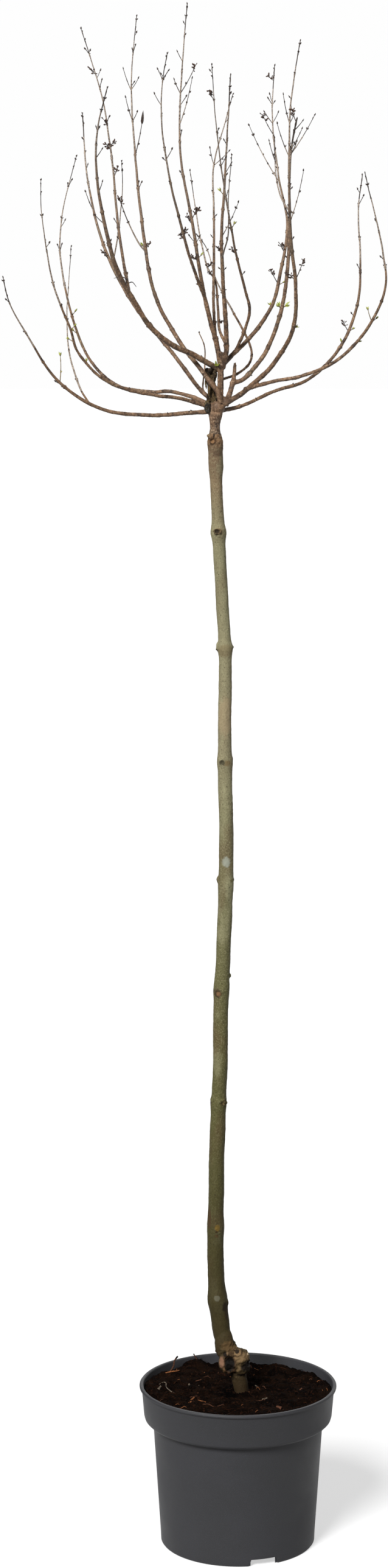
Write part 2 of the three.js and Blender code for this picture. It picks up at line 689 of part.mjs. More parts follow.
function addMesh(name, solid, colour, roughness) {
  const mesh = new THREE.Mesh(geometryOf(solid), material(colour, roughness));
  mesh.name = name;
  plant.add(mesh);
}

addMesh('pot', makePot(), colours.pot, 0.5);
addMesh('soil', makeSoil(), colours.soil, 0.95);
addMesh('trunk', makeTrunk(), colours.stem, 0.8);

const shapes = {};
for (const [name, limb] of Object.entries(limbs)) shapes[name] = shapeLimb(name, limb);
for (const shape of Object.values(shapes)) {
  const { line, radii } = limbTube(shape, 0, 1, fine.room);
  takeRoom(shape.name, line, radii);
}

// The head of the trunk, a little larger than it is, to cut the limbs clear of it.
const headLine = lineBetween(stemCurve(), stem.headShare, 1, fine.bough.stride);
const headTube = tube(headLine, headLine.map(({ at }) => stemRadius(at.z) + gap), stem.sides);
const headRoom = joined([headTube, ...headLumps(gap)]);

const boughRooms = [headRoom];
for (const [name, shape] of Object.entries(shapes)) {
  const bough = makeBough(shape, boughRooms);
  boughRooms.push(limbTube(shape, 0, shape.split, fine.bough, gap).solid);
  const isDead = name === 'dead' || name === 'snag';
  addMesh(isDead ? `stub_${name}` : `bough_${name}`, bough, isDead ? colours.dead : colours.bough, 0.8);
}
let seed = 1;
for (const [name, limb] of Object.entries(limbs)) {
  seed += 1;
  if (limb.boughEnd === undefined) continue;
  addMesh(`twigs_${name}`, makeTwigs(shapes[name], limb, seed), colours.twig, 0.8);
}

export default plant;
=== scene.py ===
# A standard lilac in its nursery pot, in early spring: its looks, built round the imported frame.
# The plant's rows are in millimetres and degrees, and mm turns them into metres.
import math

import bpy
import numpy as np
from mathutils import Matrix, Vector, noise


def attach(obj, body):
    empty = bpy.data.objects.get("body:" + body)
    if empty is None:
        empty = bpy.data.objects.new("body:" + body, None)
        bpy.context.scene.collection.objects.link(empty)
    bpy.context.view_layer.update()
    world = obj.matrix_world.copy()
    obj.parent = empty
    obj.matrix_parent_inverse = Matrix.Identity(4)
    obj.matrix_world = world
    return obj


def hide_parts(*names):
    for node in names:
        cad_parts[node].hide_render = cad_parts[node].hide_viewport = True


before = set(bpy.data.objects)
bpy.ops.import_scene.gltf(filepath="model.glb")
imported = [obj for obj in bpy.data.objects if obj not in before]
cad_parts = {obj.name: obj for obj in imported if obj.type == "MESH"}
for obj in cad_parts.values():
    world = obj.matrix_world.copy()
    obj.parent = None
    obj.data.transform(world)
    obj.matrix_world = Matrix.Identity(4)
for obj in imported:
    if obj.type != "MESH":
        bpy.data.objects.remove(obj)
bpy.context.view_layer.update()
print("frame loaded with", len(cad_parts), "nodes")

mm = 0.001
scene = bpy.context.scene
noise.seed_set(1)  # noise vectors would otherwise start from the clock


# working by hand: picking, settling and modifiers
def pick(*pieces):
    if bpy.context.object and bpy.context.object.mode != "OBJECT":
        bpy.ops.object.mode_set(mode="OBJECT")
    bpy.ops.object.select_all(action="DESELECT")
    for piece in pieces:
        piece.select_set(True)
    bpy.context.view_layer.objects.active = pieces[0]


def settle(piece, name=None):
    # its place, turn and size go into the mesh
    pick(piece)
    bpy.ops.object.transform_apply(location=True, rotation=True, scale=True)
    if name:
        piece.name = name
        piece.data.name = name
    return piece


def finishWith(piece, kind, **settings):
    pick(piece)
    modifier = piece.modifiers.new(kind, kind)
    for key, value in settings.items():
        setattr(modifier, key, value)
    bpy.ops.object.modifier_apply(modifier=modifier.name)
    return piece


def carve(piece, tool):
    finishWith(piece, "BOOLEAN", operation="DIFFERENCE", object=tool, solver="EXACT")
    bpy.data.objects.remove(tool)


def joinInto(first, others):
    pick(first, *others)
    bpy.ops.object.join()
    return first


def edit(piece, action="SELECT", kind="FACE"):
    # into edit mode, with everything selected or nothing
    pick(piece)
    bpy.ops.object.mode_set(mode="EDIT")
    bpy.ops.mesh.select_mode(type=kind)
    bpy.ops.mesh.select_all(action=action)


def turnOutward():
    # every face faces outwards, and edit mode ends
    bpy.ops.mesh.select_all(action="SELECT")
    bpy.ops.mesh.normals_make_consistent(inside=False)
    bpy.ops.object.mode_set(mode="OBJECT")


def disc(facets, radius, height):
    bpy.ops.mesh.primitive_circle_add(vertices=facets, radius=radius * mm, fill_type="NGON",
                                      location=(0, 0, height * mm))
    return bpy.context.object


def smoothShade(piece):
    pick(piece)
    bpy.ops.object.shade_smooth()
    return piece


def dress(piece, materials, nodes=()):
    while len(piece.data.materials) < len(materials):
        piece.data.materials.append(None)
    for index, material in enumerate(materials):
        piece.data.materials[index] = material
    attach(piece, "root")
    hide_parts(*nodes)
    print("made", piece.name, "with", len(piece.data.polygons), "faces")


# shader sums
class Wire:
    # an output that takes part in sums; each sum adds a Math node
    def __init__(self, finish, socket):
        self.finish = finish
        self.socket = socket

    def sum(self, operation, first, second):
        return self.finish.node("ShaderNodeMath", {"operation": operation}, {0: first, 1: second})

    def __add__(self, other):
        return self.sum("ADD", self, other)

    def __mul__(self, other):
        return self.sum("MULTIPLY", self, other)

    def __sub__(self, other):
        return self.sum("SUBTRACT", self, other)

    def __rsub__(self, other):
        return self.sum("SUBTRACT", other, self)

    __radd__ = __add__
    __rmul__ = __mul__


class Finish:
    # one material and the node method that fills it
    def __init__(self, name, roughness=0.7, specular=0.4):
        self.material = bpy.data.materials.new(name)
        self.material.use_nodes = True
        self.tree = self.material.node_tree
        self.shader = self.tree.nodes["Principled BSDF"]
        self.shader.inputs["Roughness"].default_value = roughness
        self.shader.inputs["Specular IOR Level"].default_value = specular
        self.here = self.node("ShaderNodeTexCoord", output="Object")
        self.base = None

    def node(self, kind, settings=None, inputs=None, output=0):
        made = self.tree.nodes.new(kind)
        for key, value in (settings or {}).items():
            if key == "stops":
                ramp = made.color_ramp.elements
                while len(ramp) < len(value):
                    ramp.new(0.5)
                for element, (place, colour) in zip(ramp, value):
                    element.position = place
                    element.color = (*colour, 1)
            else:
                setattr(made, key, value)
        for key, value in (inputs or {}).items():
            if isinstance(value, Wire):
                self.tree.links.new(value.socket, made.inputs[key])
            else:
                made.inputs[key].default_value = value
        return Wire(self, made.outputs[output])

    def feed(self, socket, value):
        self.tree.links.new(value.socket, self.shader.inputs[socket])

    def along(self, axis):
        # how far a point is along an axis of the piece, in metres
        return self.node("ShaderNodeSeparateXYZ", {}, {"Vector": self.here}, output=axis)

    def place(self, scale=(1, 1, 1)):
        # the piece's own coordinates, in units of one over scale metres
        return self.node("ShaderNodeMapping", {}, {"Vector": self.here, "Scale": scale})

    def grain(self, scale, stretch=(1, 1, 1), detail=3.0, roughness=0.6):
        # noise whose grains are one over scale metres across
        inputs = {"Vector": self.place(stretch), "Scale": scale, "Detail": detail, "Roughness": roughness}
        return self.node("ShaderNodeTexNoise", {}, inputs)

    def spots(self, scale, size):
        # round dots, one in each cell, as a mask from 0 to 1
        inputs = {"Vector": self.place(), "Scale": scale, "Randomness": 1.0}
        far = self.node("ShaderNodeTexVoronoi", {"feature": "F1"}, inputs)
        return self.fade(far, size, size * 0.6, "LINEAR")

    def fade(self, value, low, high, way="SMOOTHSTEP"):
        # 0 at low and 1 at high
        ranges = {"Value": value, "From Min": low, "From Max": high, "To Min": 0.0, "To Max": 1.0}
        return self.node("ShaderNodeMapRange", {"clamp": True, "interpolation_type": way}, ranges)

    def vector(self, operation, first, second=(0, 0, 0), output=0):
        return self.node("ShaderNodeVectorMath", {"operation": operation}, {0: first, 1: second}, output)

    def near(self, centre, reach, ragged):
        # 1 at a place on the piece and 0 beyond its reach, in mm, with an uneven edge
        away = self.vector("SUBTRACT", self.here, Vector(centre) * mm)
        away = self.vector("MULTIPLY", away, [1 / (size * mm) for size in reach])
        length = self.vector("LENGTH", away, output="Value")
        return self.fade(length + (ragged - 0.5) * 0.9, 1.2, 0.7)

    def blend(self, mask, first, second):
        pair = {"Factor": mask, 6: asColour(first), 7: asColour(second)}
        return self.node("ShaderNodeMix", {"data_type": "RGBA"}, pair, output=2)

    def coat(self, mask, colour):
        # lays a colour over the base, as far as the mask goes
        self.base = self.blend(mask, self.base, colour)

    def stain(self, marks, ragged):
        for centre, reach, strength, colour in marks:
            self.coat(self.near(centre, reach, ragged) * strength, colour)

    def done(self, height, depth, roughness=None):
        # the base, the roughness and a bump of that depth in millimetres feed the shader
        self.feed("Base Color", self.base)
        if roughness is not None:
            self.feed("Roughness", roughness)
        bump = self.node("ShaderNodeBump", {}, {"Height": height, "Distance": depth * mm, "Strength": 1.0})
        self.feed("Normal", bump)
        return self.material


def fromSrgb(red, green, blue):
    channels = [value / 255 for value in (red, green, blue)]
    return tuple(c / 12.92 if c <= 0.04045 else ((c + 0.055) / 1.055) ** 2.4 for c in channels)


def asColour(value):
    # value is a wire, a name from barkLooks, or red, green and blue
    if isinstance(value, Wire):
        return value
    return (*fromSrgb(*barkLooks.get(value, value)), 1)


# the plant's rows, as the model has them
forkAt = Vector((-30, 0, 1609))
soilTop = 220

stemShape = {
    "line": [(5, 0, 214), (5, 0, 220), (-5, 1, 262), (-20, 3, 294), (-28, 3, 345), (-31, 0, 467),
             (-27, -3, 640), (-20, -4, 930), (-19, 0, 1200), (-25, 3, 1370), (-33, 2, 1540),
             (-34, 1, 1585), (-33, 0, 1601)],
    "footRadius": 12.6,
    "middleRadius": 9.4,
    "topRadius": 7.4,
    # height, how much the radius grows, how far up and down it spreads
    "swellings": [(228, 2.5, 12), (352, 2, 14), (458, 1, 12), (639, 1.4, 10), (802, 1, 12), (950, 1, 14),
                  (1122, 1.4, 10), (1279, 2.4, 9), (1438, 2.4, 10), (1542, 2.4, 22), (1601, 2.4, 10)],
}

# bends are [toward, out, up] about the fork; twigs are [up, toward, rise, length, end]
limbs = {
    "centre": {
        "bends": [[0, 3, 6], [328, 4, 38], [309, 5, 60], [285, 7, 74]],
        "thick": [10.5, 11, 9],
    },
    "front_right": {
        "bends": [[336, 8, 3], [333, 31, 15], [329, 51, 28], [327, 88, 58], [322, 126, 105], [316, 142, 160],
            [308, 154, 222], [301, 178, 292], [299, 196, 348], [299, 208, 377]],
        "thick": [7.4, 5, 3.1], "boughEnd": 165,
        "twigs": [[168, 175, 42, 12, "seeds"], [168, 10, 68, 28, "seeds"], [330, 40, 60, 22],
            [360, 20, 48, 20], [370, 160, 70, 16, "seeds"]],
    },
    "low_right": {
        "bends": [[330, 46, 25], [329, 86, 35], [333, 127, 43], [335, 175, 64], [337, 213, 103],
            [337, 240, 158], [336, 238, 205], [330, 221, 311]],
        "thick": [5.4, 4.2, 1.6], "boughEnd": 103,
        "twigs": [[115, 170, 72, 18, "leaf"], [114, 20, 35, 10, "leaf"], [196, 170, 40, 8],
            [243, 200, 60, 8]],
    },
    "right_back": {
        "bends": [[32, 7, -5], [32, 38, 0], [32, 87, 18], [31, 150, 37], [30, 199, 82], [31, 228, 142],
            [32, 234, 205], [34, 236, 262], [35, 246, 318]],
        "thick": [5.4, 4.5, 1.8], "boughEnd": 95,
        "twigs": [[97, 160, 60, 16, "seeds"], [121, 165, 48, 8], [98, 30, 30, 9, "leaf"], [290, 170, 60, 9]],
    },
    "low_left": {
        "bends": [[191, 8, -6], [188, 102, -11], [188, 160, -2], [189, 218, 35], [192, 267, 106],
            [193, 286, 139], [194, 296, 176]],
        "thick": [6.2, 5, 1.8], "boughEnd": 3,
        "whips": [
            {"up": 5, "bends": [[181, 187, 25], [174, 203, 69], [168, 211, 114], [158, 217, 219]],
             "thick": [3, 1.2]},
        ],
        "twigs": [[33, 0, 89, 38, "leaf"], [140, 200, 45, 8]],
    },
    "left_front": {
        "bends": [[194, 8, -1], [199, 36, 7], [201, 62, 13], [200, 90, 16], [198, 153, 33], [199, 198, 73],
            [201, 211, 104], [202, 225, 134], [202, 237, 167], [206, 259, 256], [207, 262, 302]],
        "thick": [5.9, 3.6, 1.3], "boughEnd": 80,
        "twigs": [[88, 180, 30, 9, "leaf"], [104, 10, 45, 9, "leaf"], [212, 10, 55, 10]],
    },
    "left_back": {
        "bends": [[165, 8, 1], [160, 35, 12], [159, 71, 20], [159, 97, 19], [161, 147, 28], [162, 189, 69],
            [157, 234, 189], [154, 240, 253], [146, 235, 343]],
        "thick": [6, 3.8, 1.3], "boughEnd": 80,
        "twigs": [[97, 175, 40, 9, "leaf"], [242, 20, 58, 15], [122, 340, 50, 9, "leaf"]],
    },
    "rear_left": {
        "bends": [[130, 3, 6], [149, 20, 16], [140, 44, 34], [139, 70, 60], [141, 105, 94], [142, 135, 124],
            [142, 161, 155], [142, 189, 197], [141, 211, 236], [139, 240, 312], [135, 267, 404]],
        "thick": [6, 4.8, 1.9], "boughEnd": 180,
        "whips": [
            {"up": 190, "bends": [[143, 172, 232], [147, 156, 297], [155, 145, 333]], "thick": [2.2, 1.2]},
        ],
        "twigs": [[198, 190, 50, 14, "seeds"], [264, 185, 68, 33], [324, 30, 70, 9], [364, 200, 50, 6]],
    },
    "inner_left": {
        "bends": [[296, 7, 10], [268, 8, 21], [219, 14, 34], [192, 28, 56], [172, 48, 81], [158, 91, 146],
            [153, 113, 227], [148, 133, 339], [144, 146, 440], [138, 149, 530]],
        "thick": [7, 4.7, 1.4], "boughEnd": 205,
        "whips": [
            {"up": 208, "bends": [[156, 118, 220], [160, 133, 255], [162, 141, 280]],
             "thick": [2.6, 1.5], "end": "seeds"},
        ],
        "twigs": [[210, 170, 55, 9, "leaf"], [213, 10, 45, 9, "seeds"], [293, 20, 64, 13],
            [339, 12, 79, 57, "spindle"], [385, 178, 74, 36], [385, 25, 62, 17], [426, 190, 70, 34],
            [427, 15, 58, 21], [500, 30, 60, 8]],
    },
    "dead": {
        "bends": [[150, 3, 3], [155, 8, 20], [160, 9, 37], [161, 9, 51]],
        "thick": [10, 12.5, 15],
    },
    "rear_shoot": {
        "bends": [[144, 10, 10], [144, 24, 21], [129, 31, 36], [119, 37, 52], [108, 58, 80], [110, 77, 101]],
        "thick": [2.2, 1.9, 1.3],
    },
    "front_left": {
        "bends": [[228, 3, 52], [214, 21, 61], [212, 41, 71], [213, 76, 85], [210, 105, 108],
            [210, 128, 139], [212, 151, 169], [216, 176, 208], [221, 211, 302], [226, 227, 360],
            [233, 238, 416]],
        "thick": [8, 6.4, 1.8], "boughEnd": 178,
        "twigs": [[242, 190, 44, 20], [283, 15, 70, 17], [326, 10, 56, 17], [360, 175, 75, 8],
            [360, 20, 60, 8]],
    },
    "tall_left": {
        "bends": [[210, 137, 151], [208, 139, 173], [201, 143, 240], [196, 147, 321], [193, 158, 406],
            [191, 174, 464], [189, 186, 503]],
        "thick": [5, 4, 1.5], "boughEnd": 196,
        "twigs": [[221, 180, 55, 8], [305, 15, 70, 14, "seeds"], [343, 190, 40, 7, "seeds"],
            [346, 10, 45, 7, "seeds"], [374, 190, 55, 7, "seeds"], [435, 20, 66, 14],
            [440, 170, 40, 9, "seeds"], [468, 30, 60, 6]],
    },
    "leader": {
        "bends": [[300, 4, 64], [247, 5, 86], [221, 12, 110], [211, 24, 159], [205, 38, 244], [202, 54, 331],
            [205, 56, 409], [216, 51, 535]],
        "thick": [7.6, 5.2, 1.7], "boughEnd": 172,
        "twigs": [[195, 185, 40, 11, "seeds"], [198, 15, 45, 8, "leaf"], [243, 175, 55, 13, "seeds"],
            [250, 330, 62, 15, "seeds"], [375, 340, 74, 66], [415, 185, 66, 23], [416, 20, 60, 42, "seeds"],
            [457, 190, 62, 17], [504, 175, 60, 7]],
    },
    "inner_front": {
        "bends": [[213, 20, 142], [229, 55, 194], [234, 86, 244], [235, 113, 303], [237, 136, 365],
            [241, 153, 418], [246, 164, 462]],
        "thick": [4.6, 4, 1.6], "boughEnd": 215,
        "twigs": [[222, 190, 50, 9, "seeds"], [228, 20, 60, 9, "seeds"], [324, 175, 40, 8],
            [326, 10, 60, 18], [394, 185, 60, 20], [426, 20, 55, 8], [430, 180, 60, 7]],
    },
    "rear_middle": {
        "bends": [[240, 6, 88], [205, 4, 99], [115, 13, 123], [103, 27, 148], [96, 50, 194], [93, 98, 261],
            [92, 146, 327], [87, 186, 385], [84, 221, 432]],
        "thick": [4.6, 3.9, 1.5], "boughEnd": 178,
        "twigs": [[226, 200, 50, 8], [256, 330, 40, 7], [328, 175, 78, 27], [328, 345, 42, 32],
            [388, 20, 50, 8]],
    },
    "middle_front": {
        "bends": [[339, 8, 56], [318, 15, 76], [310, 17, 98], [296, 23, 120], [286, 29, 145], [275, 50, 225],
            [277, 64, 289], [278, 81, 359], [279, 101, 438]],
        "thick": [7.4, 5.2, 1.9], "boughEnd": 175,
        "whips": [
            {"up": 198, "bends": [[278, 91, 230], [276, 121, 276], [276, 161, 332]], "thick": [2.4, 1.3]},
        ],
        "twigs": [[181, 15, 45, 8], [182, 165, 40, 8], [206, 170, 45, 9, "seeds"], [226, 25, 62, 55],
            [281, 200, 50, 9, "leaf"], [305, 10, 55, 7], [347, 180, 60, 9], [409, 10, 60, 6]],
    },
    "rear_inner": {
        "bends": [[306, 15, 88], [0, 4, 98], [80, 9, 107], [90, 25, 136], [95, 46, 171], [103, 57, 184],
            [106, 79, 218], [106, 102, 253], [107, 132, 323]],
        "thick": [4.8, 3.8, 1.4], "boughEnd": 108,
        "twigs": [[113, 0, 20, 6, "seeds"], [176, 190, 45, 7, "seeds"], [187, 0, 50, 7, "seeds"],
            [262, 20, 50, 6, "seeds"]],
    },
    "rear_sweep": {
        "bends": [[30, 6, 36], [41, 38, 45], [45, 61, 57], [50, 73, 71], [62, 86, 92], [79, 114, 127],
            [90, 160, 168], [94, 215, 216], [97, 242, 237]],
        "thick": [3.9, 3.3, 1.5], "boughEnd": 95,
        "twigs": [[156, 330, 10, 9]],
    },
    "rear_right": {
        "bends": [[343, 8, 57], [18, 20, 69], [24, 50, 95], [28, 84, 136], [33, 102, 180], [39, 123, 246],
            [50, 130, 314], [59, 147, 394], [62, 169, 467]],
        "thick": [6.6, 5, 1.6], "boughEnd": 150,
        "twigs": [[165, 175, 62, 20, "seeds"], [163, 20, 25, 10, "leaf"], [208, 190, 60, 12, "seeds"],
            [303, 165, 61, 92], [326, 185, 72, 38], [368, 195, 60, 30, "seeds"], [384, 175, 55, 22],
            [385, 10, 62, 19], [412, 185, 74, 15], [443, 170, 40, 10, "seeds"]],
    },
    "front_middle": {
        "bends": [[21, 27, 77], [351, 38, 107], [337, 46, 131], [318, 49, 156], [291, 66, 204],
            [275, 106, 279], [269, 146, 357], [267, 190, 445]],
        "thick": [4.6, 3.8, 1.3], "boughEnd": 160,
        "twigs": [[176, 20, 45, 8], [204, 190, 50, 8, "seeds"], [236, 10, 60, 9, "leaf"],
            [404, 170, 40, 9, "seeds"], [432, 185, 50, 7]],
    },
    "snag": {
        "bends": [[5, 12, 6], [14, 18, 22], [18, 22, 36], [22, 25, 56]],
        "thick": [7.4, 6.4, 4.4],
    },
    "tall_right": {
        "bends": [[18, 21, 32], [20, 35, 36], [22, 50, 48], [21, 71, 75], [25, 96, 130], [26, 106, 186],
            [28, 111, 258], [30, 112, 336], [30, 115, 413], [28, 127, 494]],
        "thick": [6.6, 5.3, 1.7], "boughEnd": 172,
        "whips": [
            {"up": 262, "bends": [[36, 105, 285], [42, 106, 320], [46, 112, 366]], "thick": [2.4, 1.4]},
        ],
        "twigs": [[198, 170, 50, 7], [200, 10, 50, 7], [246, 345, 75, 76], [291, 10, 50, 7],
            [336, 170, 70, 50], [336, 350, 58, 68], [342, 20, 60, 40], [380, 175, 78, 43], [381, 10, 64, 16],
            [413, 175, 50, 6]],
    },
}

growth = {
    "collarFlare": 0.25,
    "collarReach": 12,
    "collarBelow": 30,
    "internode": 46,
    "spurShare": 0.16,
    "spurLengths": (7, 20),
    "spurRise": 20,
    "spurTipClear": 12,
    "spurThick": (2, 1.2),
    "twigThick": (2.4, 1.3),
    "twigLift": 6,
    "twigMostOfStem": 0.8,
    "elbowRoom": 1.2,
    "seedLumps": 2,
}


# lines and thicknesses
def heading(toward, rise):
    # a step of one: toward is in degrees from the right, by the back, and rise is above the level
    level = math.cos(math.radians(rise))
    east = level * math.cos(math.radians(toward))
    north = level * math.sin(math.radians(toward))
    return Vector((east, north, math.sin(math.radians(rise))))


def aboutFork(bend):
    toward, out, up = bend
    return forkAt + heading(toward, 0) * out + Vector((0, 0, up))


def lerp(first, last, share):
    return first + (last - first) * share


def routeAboutFork(bends):
    return Route([aboutFork(bend) for bend in bends])


class Route:
    # a smooth line through its bends, evenly measured
    def __init__(self, bends, perBend=24):
        ends = [bends[0] * 2 - bends[1], *bends, bends[-1] * 2 - bends[-2]]
        self.points = []
        for before, start, end, after in zip(ends, ends[1:], ends[2:], ends[3:]):
            back, here, on = [(b - a).length ** 0.5 for a, b in ((before, start), (start, end), (end, after))]
            leaving = (start - before) / back - (end - before) / (back + here) + (end - start) / here
            arriving = (end - start) / here - (after - start) / (here + on) + (after - end) / on
            for step in range(perBend):
                self.points.append(hermite(start, end, leaving * here, arriving * here, step / perBend))
        self.points.append(bends[-1].copy())
        self.runs = [0.0]
        for first, second in zip(self.points, self.points[1:]):
            self.runs.append(self.runs[-1] + (second - first).length)
        self.length = self.runs[-1]

    def at(self, share):
        run = min(max(share, 0.0), 1.0) * self.length
        index = min(int(np.searchsorted(self.runs, run, side="right")) - 1, len(self.points) - 2)
        step = (run - self.runs[index]) / (self.runs[index + 1] - self.runs[index])
        return self.points[index].lerp(self.points[index + 1], step)

    def ahead(self, share):
        reach = 1.5 / self.length
        return (self.at(share + reach) - self.at(share - reach)).normalized()

    def shareAtHeight(self, height, start=0.0, steps=400):
        for step in range(steps + 1):
            share = start + (1 - start) * step / steps
            if self.at(share).z >= height:
                return share
        return 1.0

    def between(self, start, end, stride):
        steps = max(1, round(self.length * (end - start) / stride))
        return [start + (end - start) * step / steps for step in range(steps + 1)]

    def walk(self, start, end, stride):
        return [self.at(share) for share in self.between(start, end, stride)]


def hermite(start, end, leaving, arriving, t):
    bend = -3 * start + 3 * end - 2 * leaving - arriving
    twist = 2 * start - 2 * end + leaving + arriving
    return start + leaving * t + bend * t ** 2 + twist * t ** 3


def seededDraws(seed):
    # even pseudo-random numbers from 0 to 1, the same as the model's own
    whole = 0xFFFFFFFF
    state = seed

    def draw():
        nonlocal state
        state = (state + 0x6D2B79F5) & whole
        mixed = ((state ^ (state >> 15)) * (1 | state)) & whole
        mixed = ((mixed + ((mixed ^ (mixed >> 7)) * (61 | mixed) & whole)) & whole) ^ mixed
        return ((mixed ^ (mixed >> 14)) & whole) / (whole + 1)

    return draw


def swelling(place, rows):
    # what rows of middle, size and spread add up to at a place
    return sum(size * math.exp(-(((place - middle) / spread) ** 2)) for middle, size, spread in rows)


def stemRadius(height):
    share = min(max((height - soilTop) / (forkAt.z - soilTop), 0), 1)
    if share < 0.5:
        plain = lerp(stemShape["footRadius"], stemShape["middleRadius"], share * 2)
    else:
        plain = lerp(stemShape["middleRadius"], stemShape["topRadius"], share * 2 - 1)
    return plain + swelling(height, stemShape["swellings"])


class Limb:
    # a limb's line, where its bough ends, and how thick it is
    def __init__(self, name, rows):
        self.name = name
        self.rows = rows
        self.route = routeAboutFork(rows["bends"])
        self.split = 1.0
        if "boughEnd" in rows:
            self.split = self.route.shareAtHeight(forkAt.z + rows["boughEnd"])
        self.turn = self.split if "boughEnd" in rows else 0.5
        self.flare = growth["collarFlare"] if rows["bends"][0][2] < growth["collarBelow"] else 0

    def radius(self, share):
        foot, middle, tip = [thickness / 2 for thickness in self.rows["thick"]]
        flare = 1 + self.flare * math.exp(-share * self.route.length / growth["collarReach"])
        if share < self.turn:
            return flare * lerp(foot, middle, share / self.turn)
        return flare * lerp(middle, tip, (share - self.turn) / (1 - self.turn))


grown = {name: Limb(name, rows) for name, rows in limbs.items()}
stemRoute = Route([Vector(point) for point in stemShape["line"]])
print("worked out", len(grown), "limbs")


# tubes along lines
def tubesFrom(name, tubes, sides):
    # tubes are (points, radii, tone), drawn as splines of one round-bevelled curve and made a mesh
    bpy.ops.curve.primitive_nurbs_path_add(location=(0, 0, 0))
    piece = bpy.context.object
    data = piece.data
    data.splines.clear()
    data.bevel_depth = 1.0
    data.bevel_resolution = (sides - 4) // 2
    data.use_fill_caps = True
    for tone in range(1 + max(tube[2] for tube in tubes)):
        data.materials.append(None)
    for points, radii, tone in tubes:
        spline = data.splines.new("POLY")
        spline.points.add(len(points) - 1)
        spline.material_index = tone
        for point, place, radius in zip(spline.points, points, radii):
            point.co = (*(place * mm), 1)
            point.radius = radius * mm
    pick(piece)
    bpy.ops.object.convert(target="MESH")
    return smoothShade(settle(bpy.context.object, name))


def jitter(point, size, scale=0.04):
    return point + noise.noise_vector(point * scale) * size


def lump(centre, halves, toward):
    bpy.ops.mesh.primitive_ico_sphere_add(subdivisions=3, radius=1, location=centre * mm)
    ball = bpy.context.object
    ball.scale = [half * mm for half in halves]
    ball.rotation_euler.z = math.radians(toward)
    return settle(ball)


def lumpsAboutFork(rows):
    # rows are toward, out, up and half sizes
    return [lump(aboutFork(row[:3]), row[3], row[0]) for row in rows]


def fuse(piece, lumps, looks):
    # tubes and lumps grown into one skin
    joinInto(piece, lumps)
    finishWith(piece, "REMESH", mode="VOXEL", voxel_size=looks["voxel"] * mm)
    finishWith(piece, "SMOOTH", factor=0.5, iterations=looks["smoothing"])


def clouds(grainSize):
    texture = bpy.data.textures.new("relief", "CLOUDS")
    texture.noise_scale = grainSize * mm
    return texture


def roughen(piece, relief):
    # pushes the surface in and out along its normals; the guide draws the grain out upwards, then goes
    for grainSize, depth, drawnOut in relief:
        bpy.ops.object.empty_add(location=(0, 0, 0))
        guide = bpy.context.object
        guide.scale.z = drawnOut
        bpy.context.view_layer.update()
        finishWith(piece, "DISPLACE", texture=clouds(grainSize), texture_coords="OBJECT",
                   texture_coords_object=guide, strength=depth * mm, mid_level=0.5)
        bpy.data.objects.remove(guide)
    return smoothShade(piece)


def dent(piece, centre, reach, push):
    # a hollow or a boss: points within reach of the centre move by push, less towards its rim
    middle = Vector(centre) * mm
    for vertex in piece.data.vertices:
        away = (vertex.co - middle).length / (reach * mm)
        if away < 1:
            vertex.co += Vector(push) * mm * (1 - away * away) ** 2


def gnarl(piece, places):
    # knotty bark: points within reach of a centre move in and out along their normals, less towards the rim
    normals = [vertex.normal.copy() for vertex in piece.data.vertices]
    for centre, reach, depth, size in places:
        middle = Vector(centre) * mm
        for vertex, normal in zip(piece.data.vertices, normals):
            away = (vertex.co - middle).length / (reach * mm)
            if away < 1:
                lift = noise.fractal(vertex.co / (size * mm), 1.0, 2.0, 4)
                vertex.co += normal * lift * depth * mm * (1 - away ** 4)


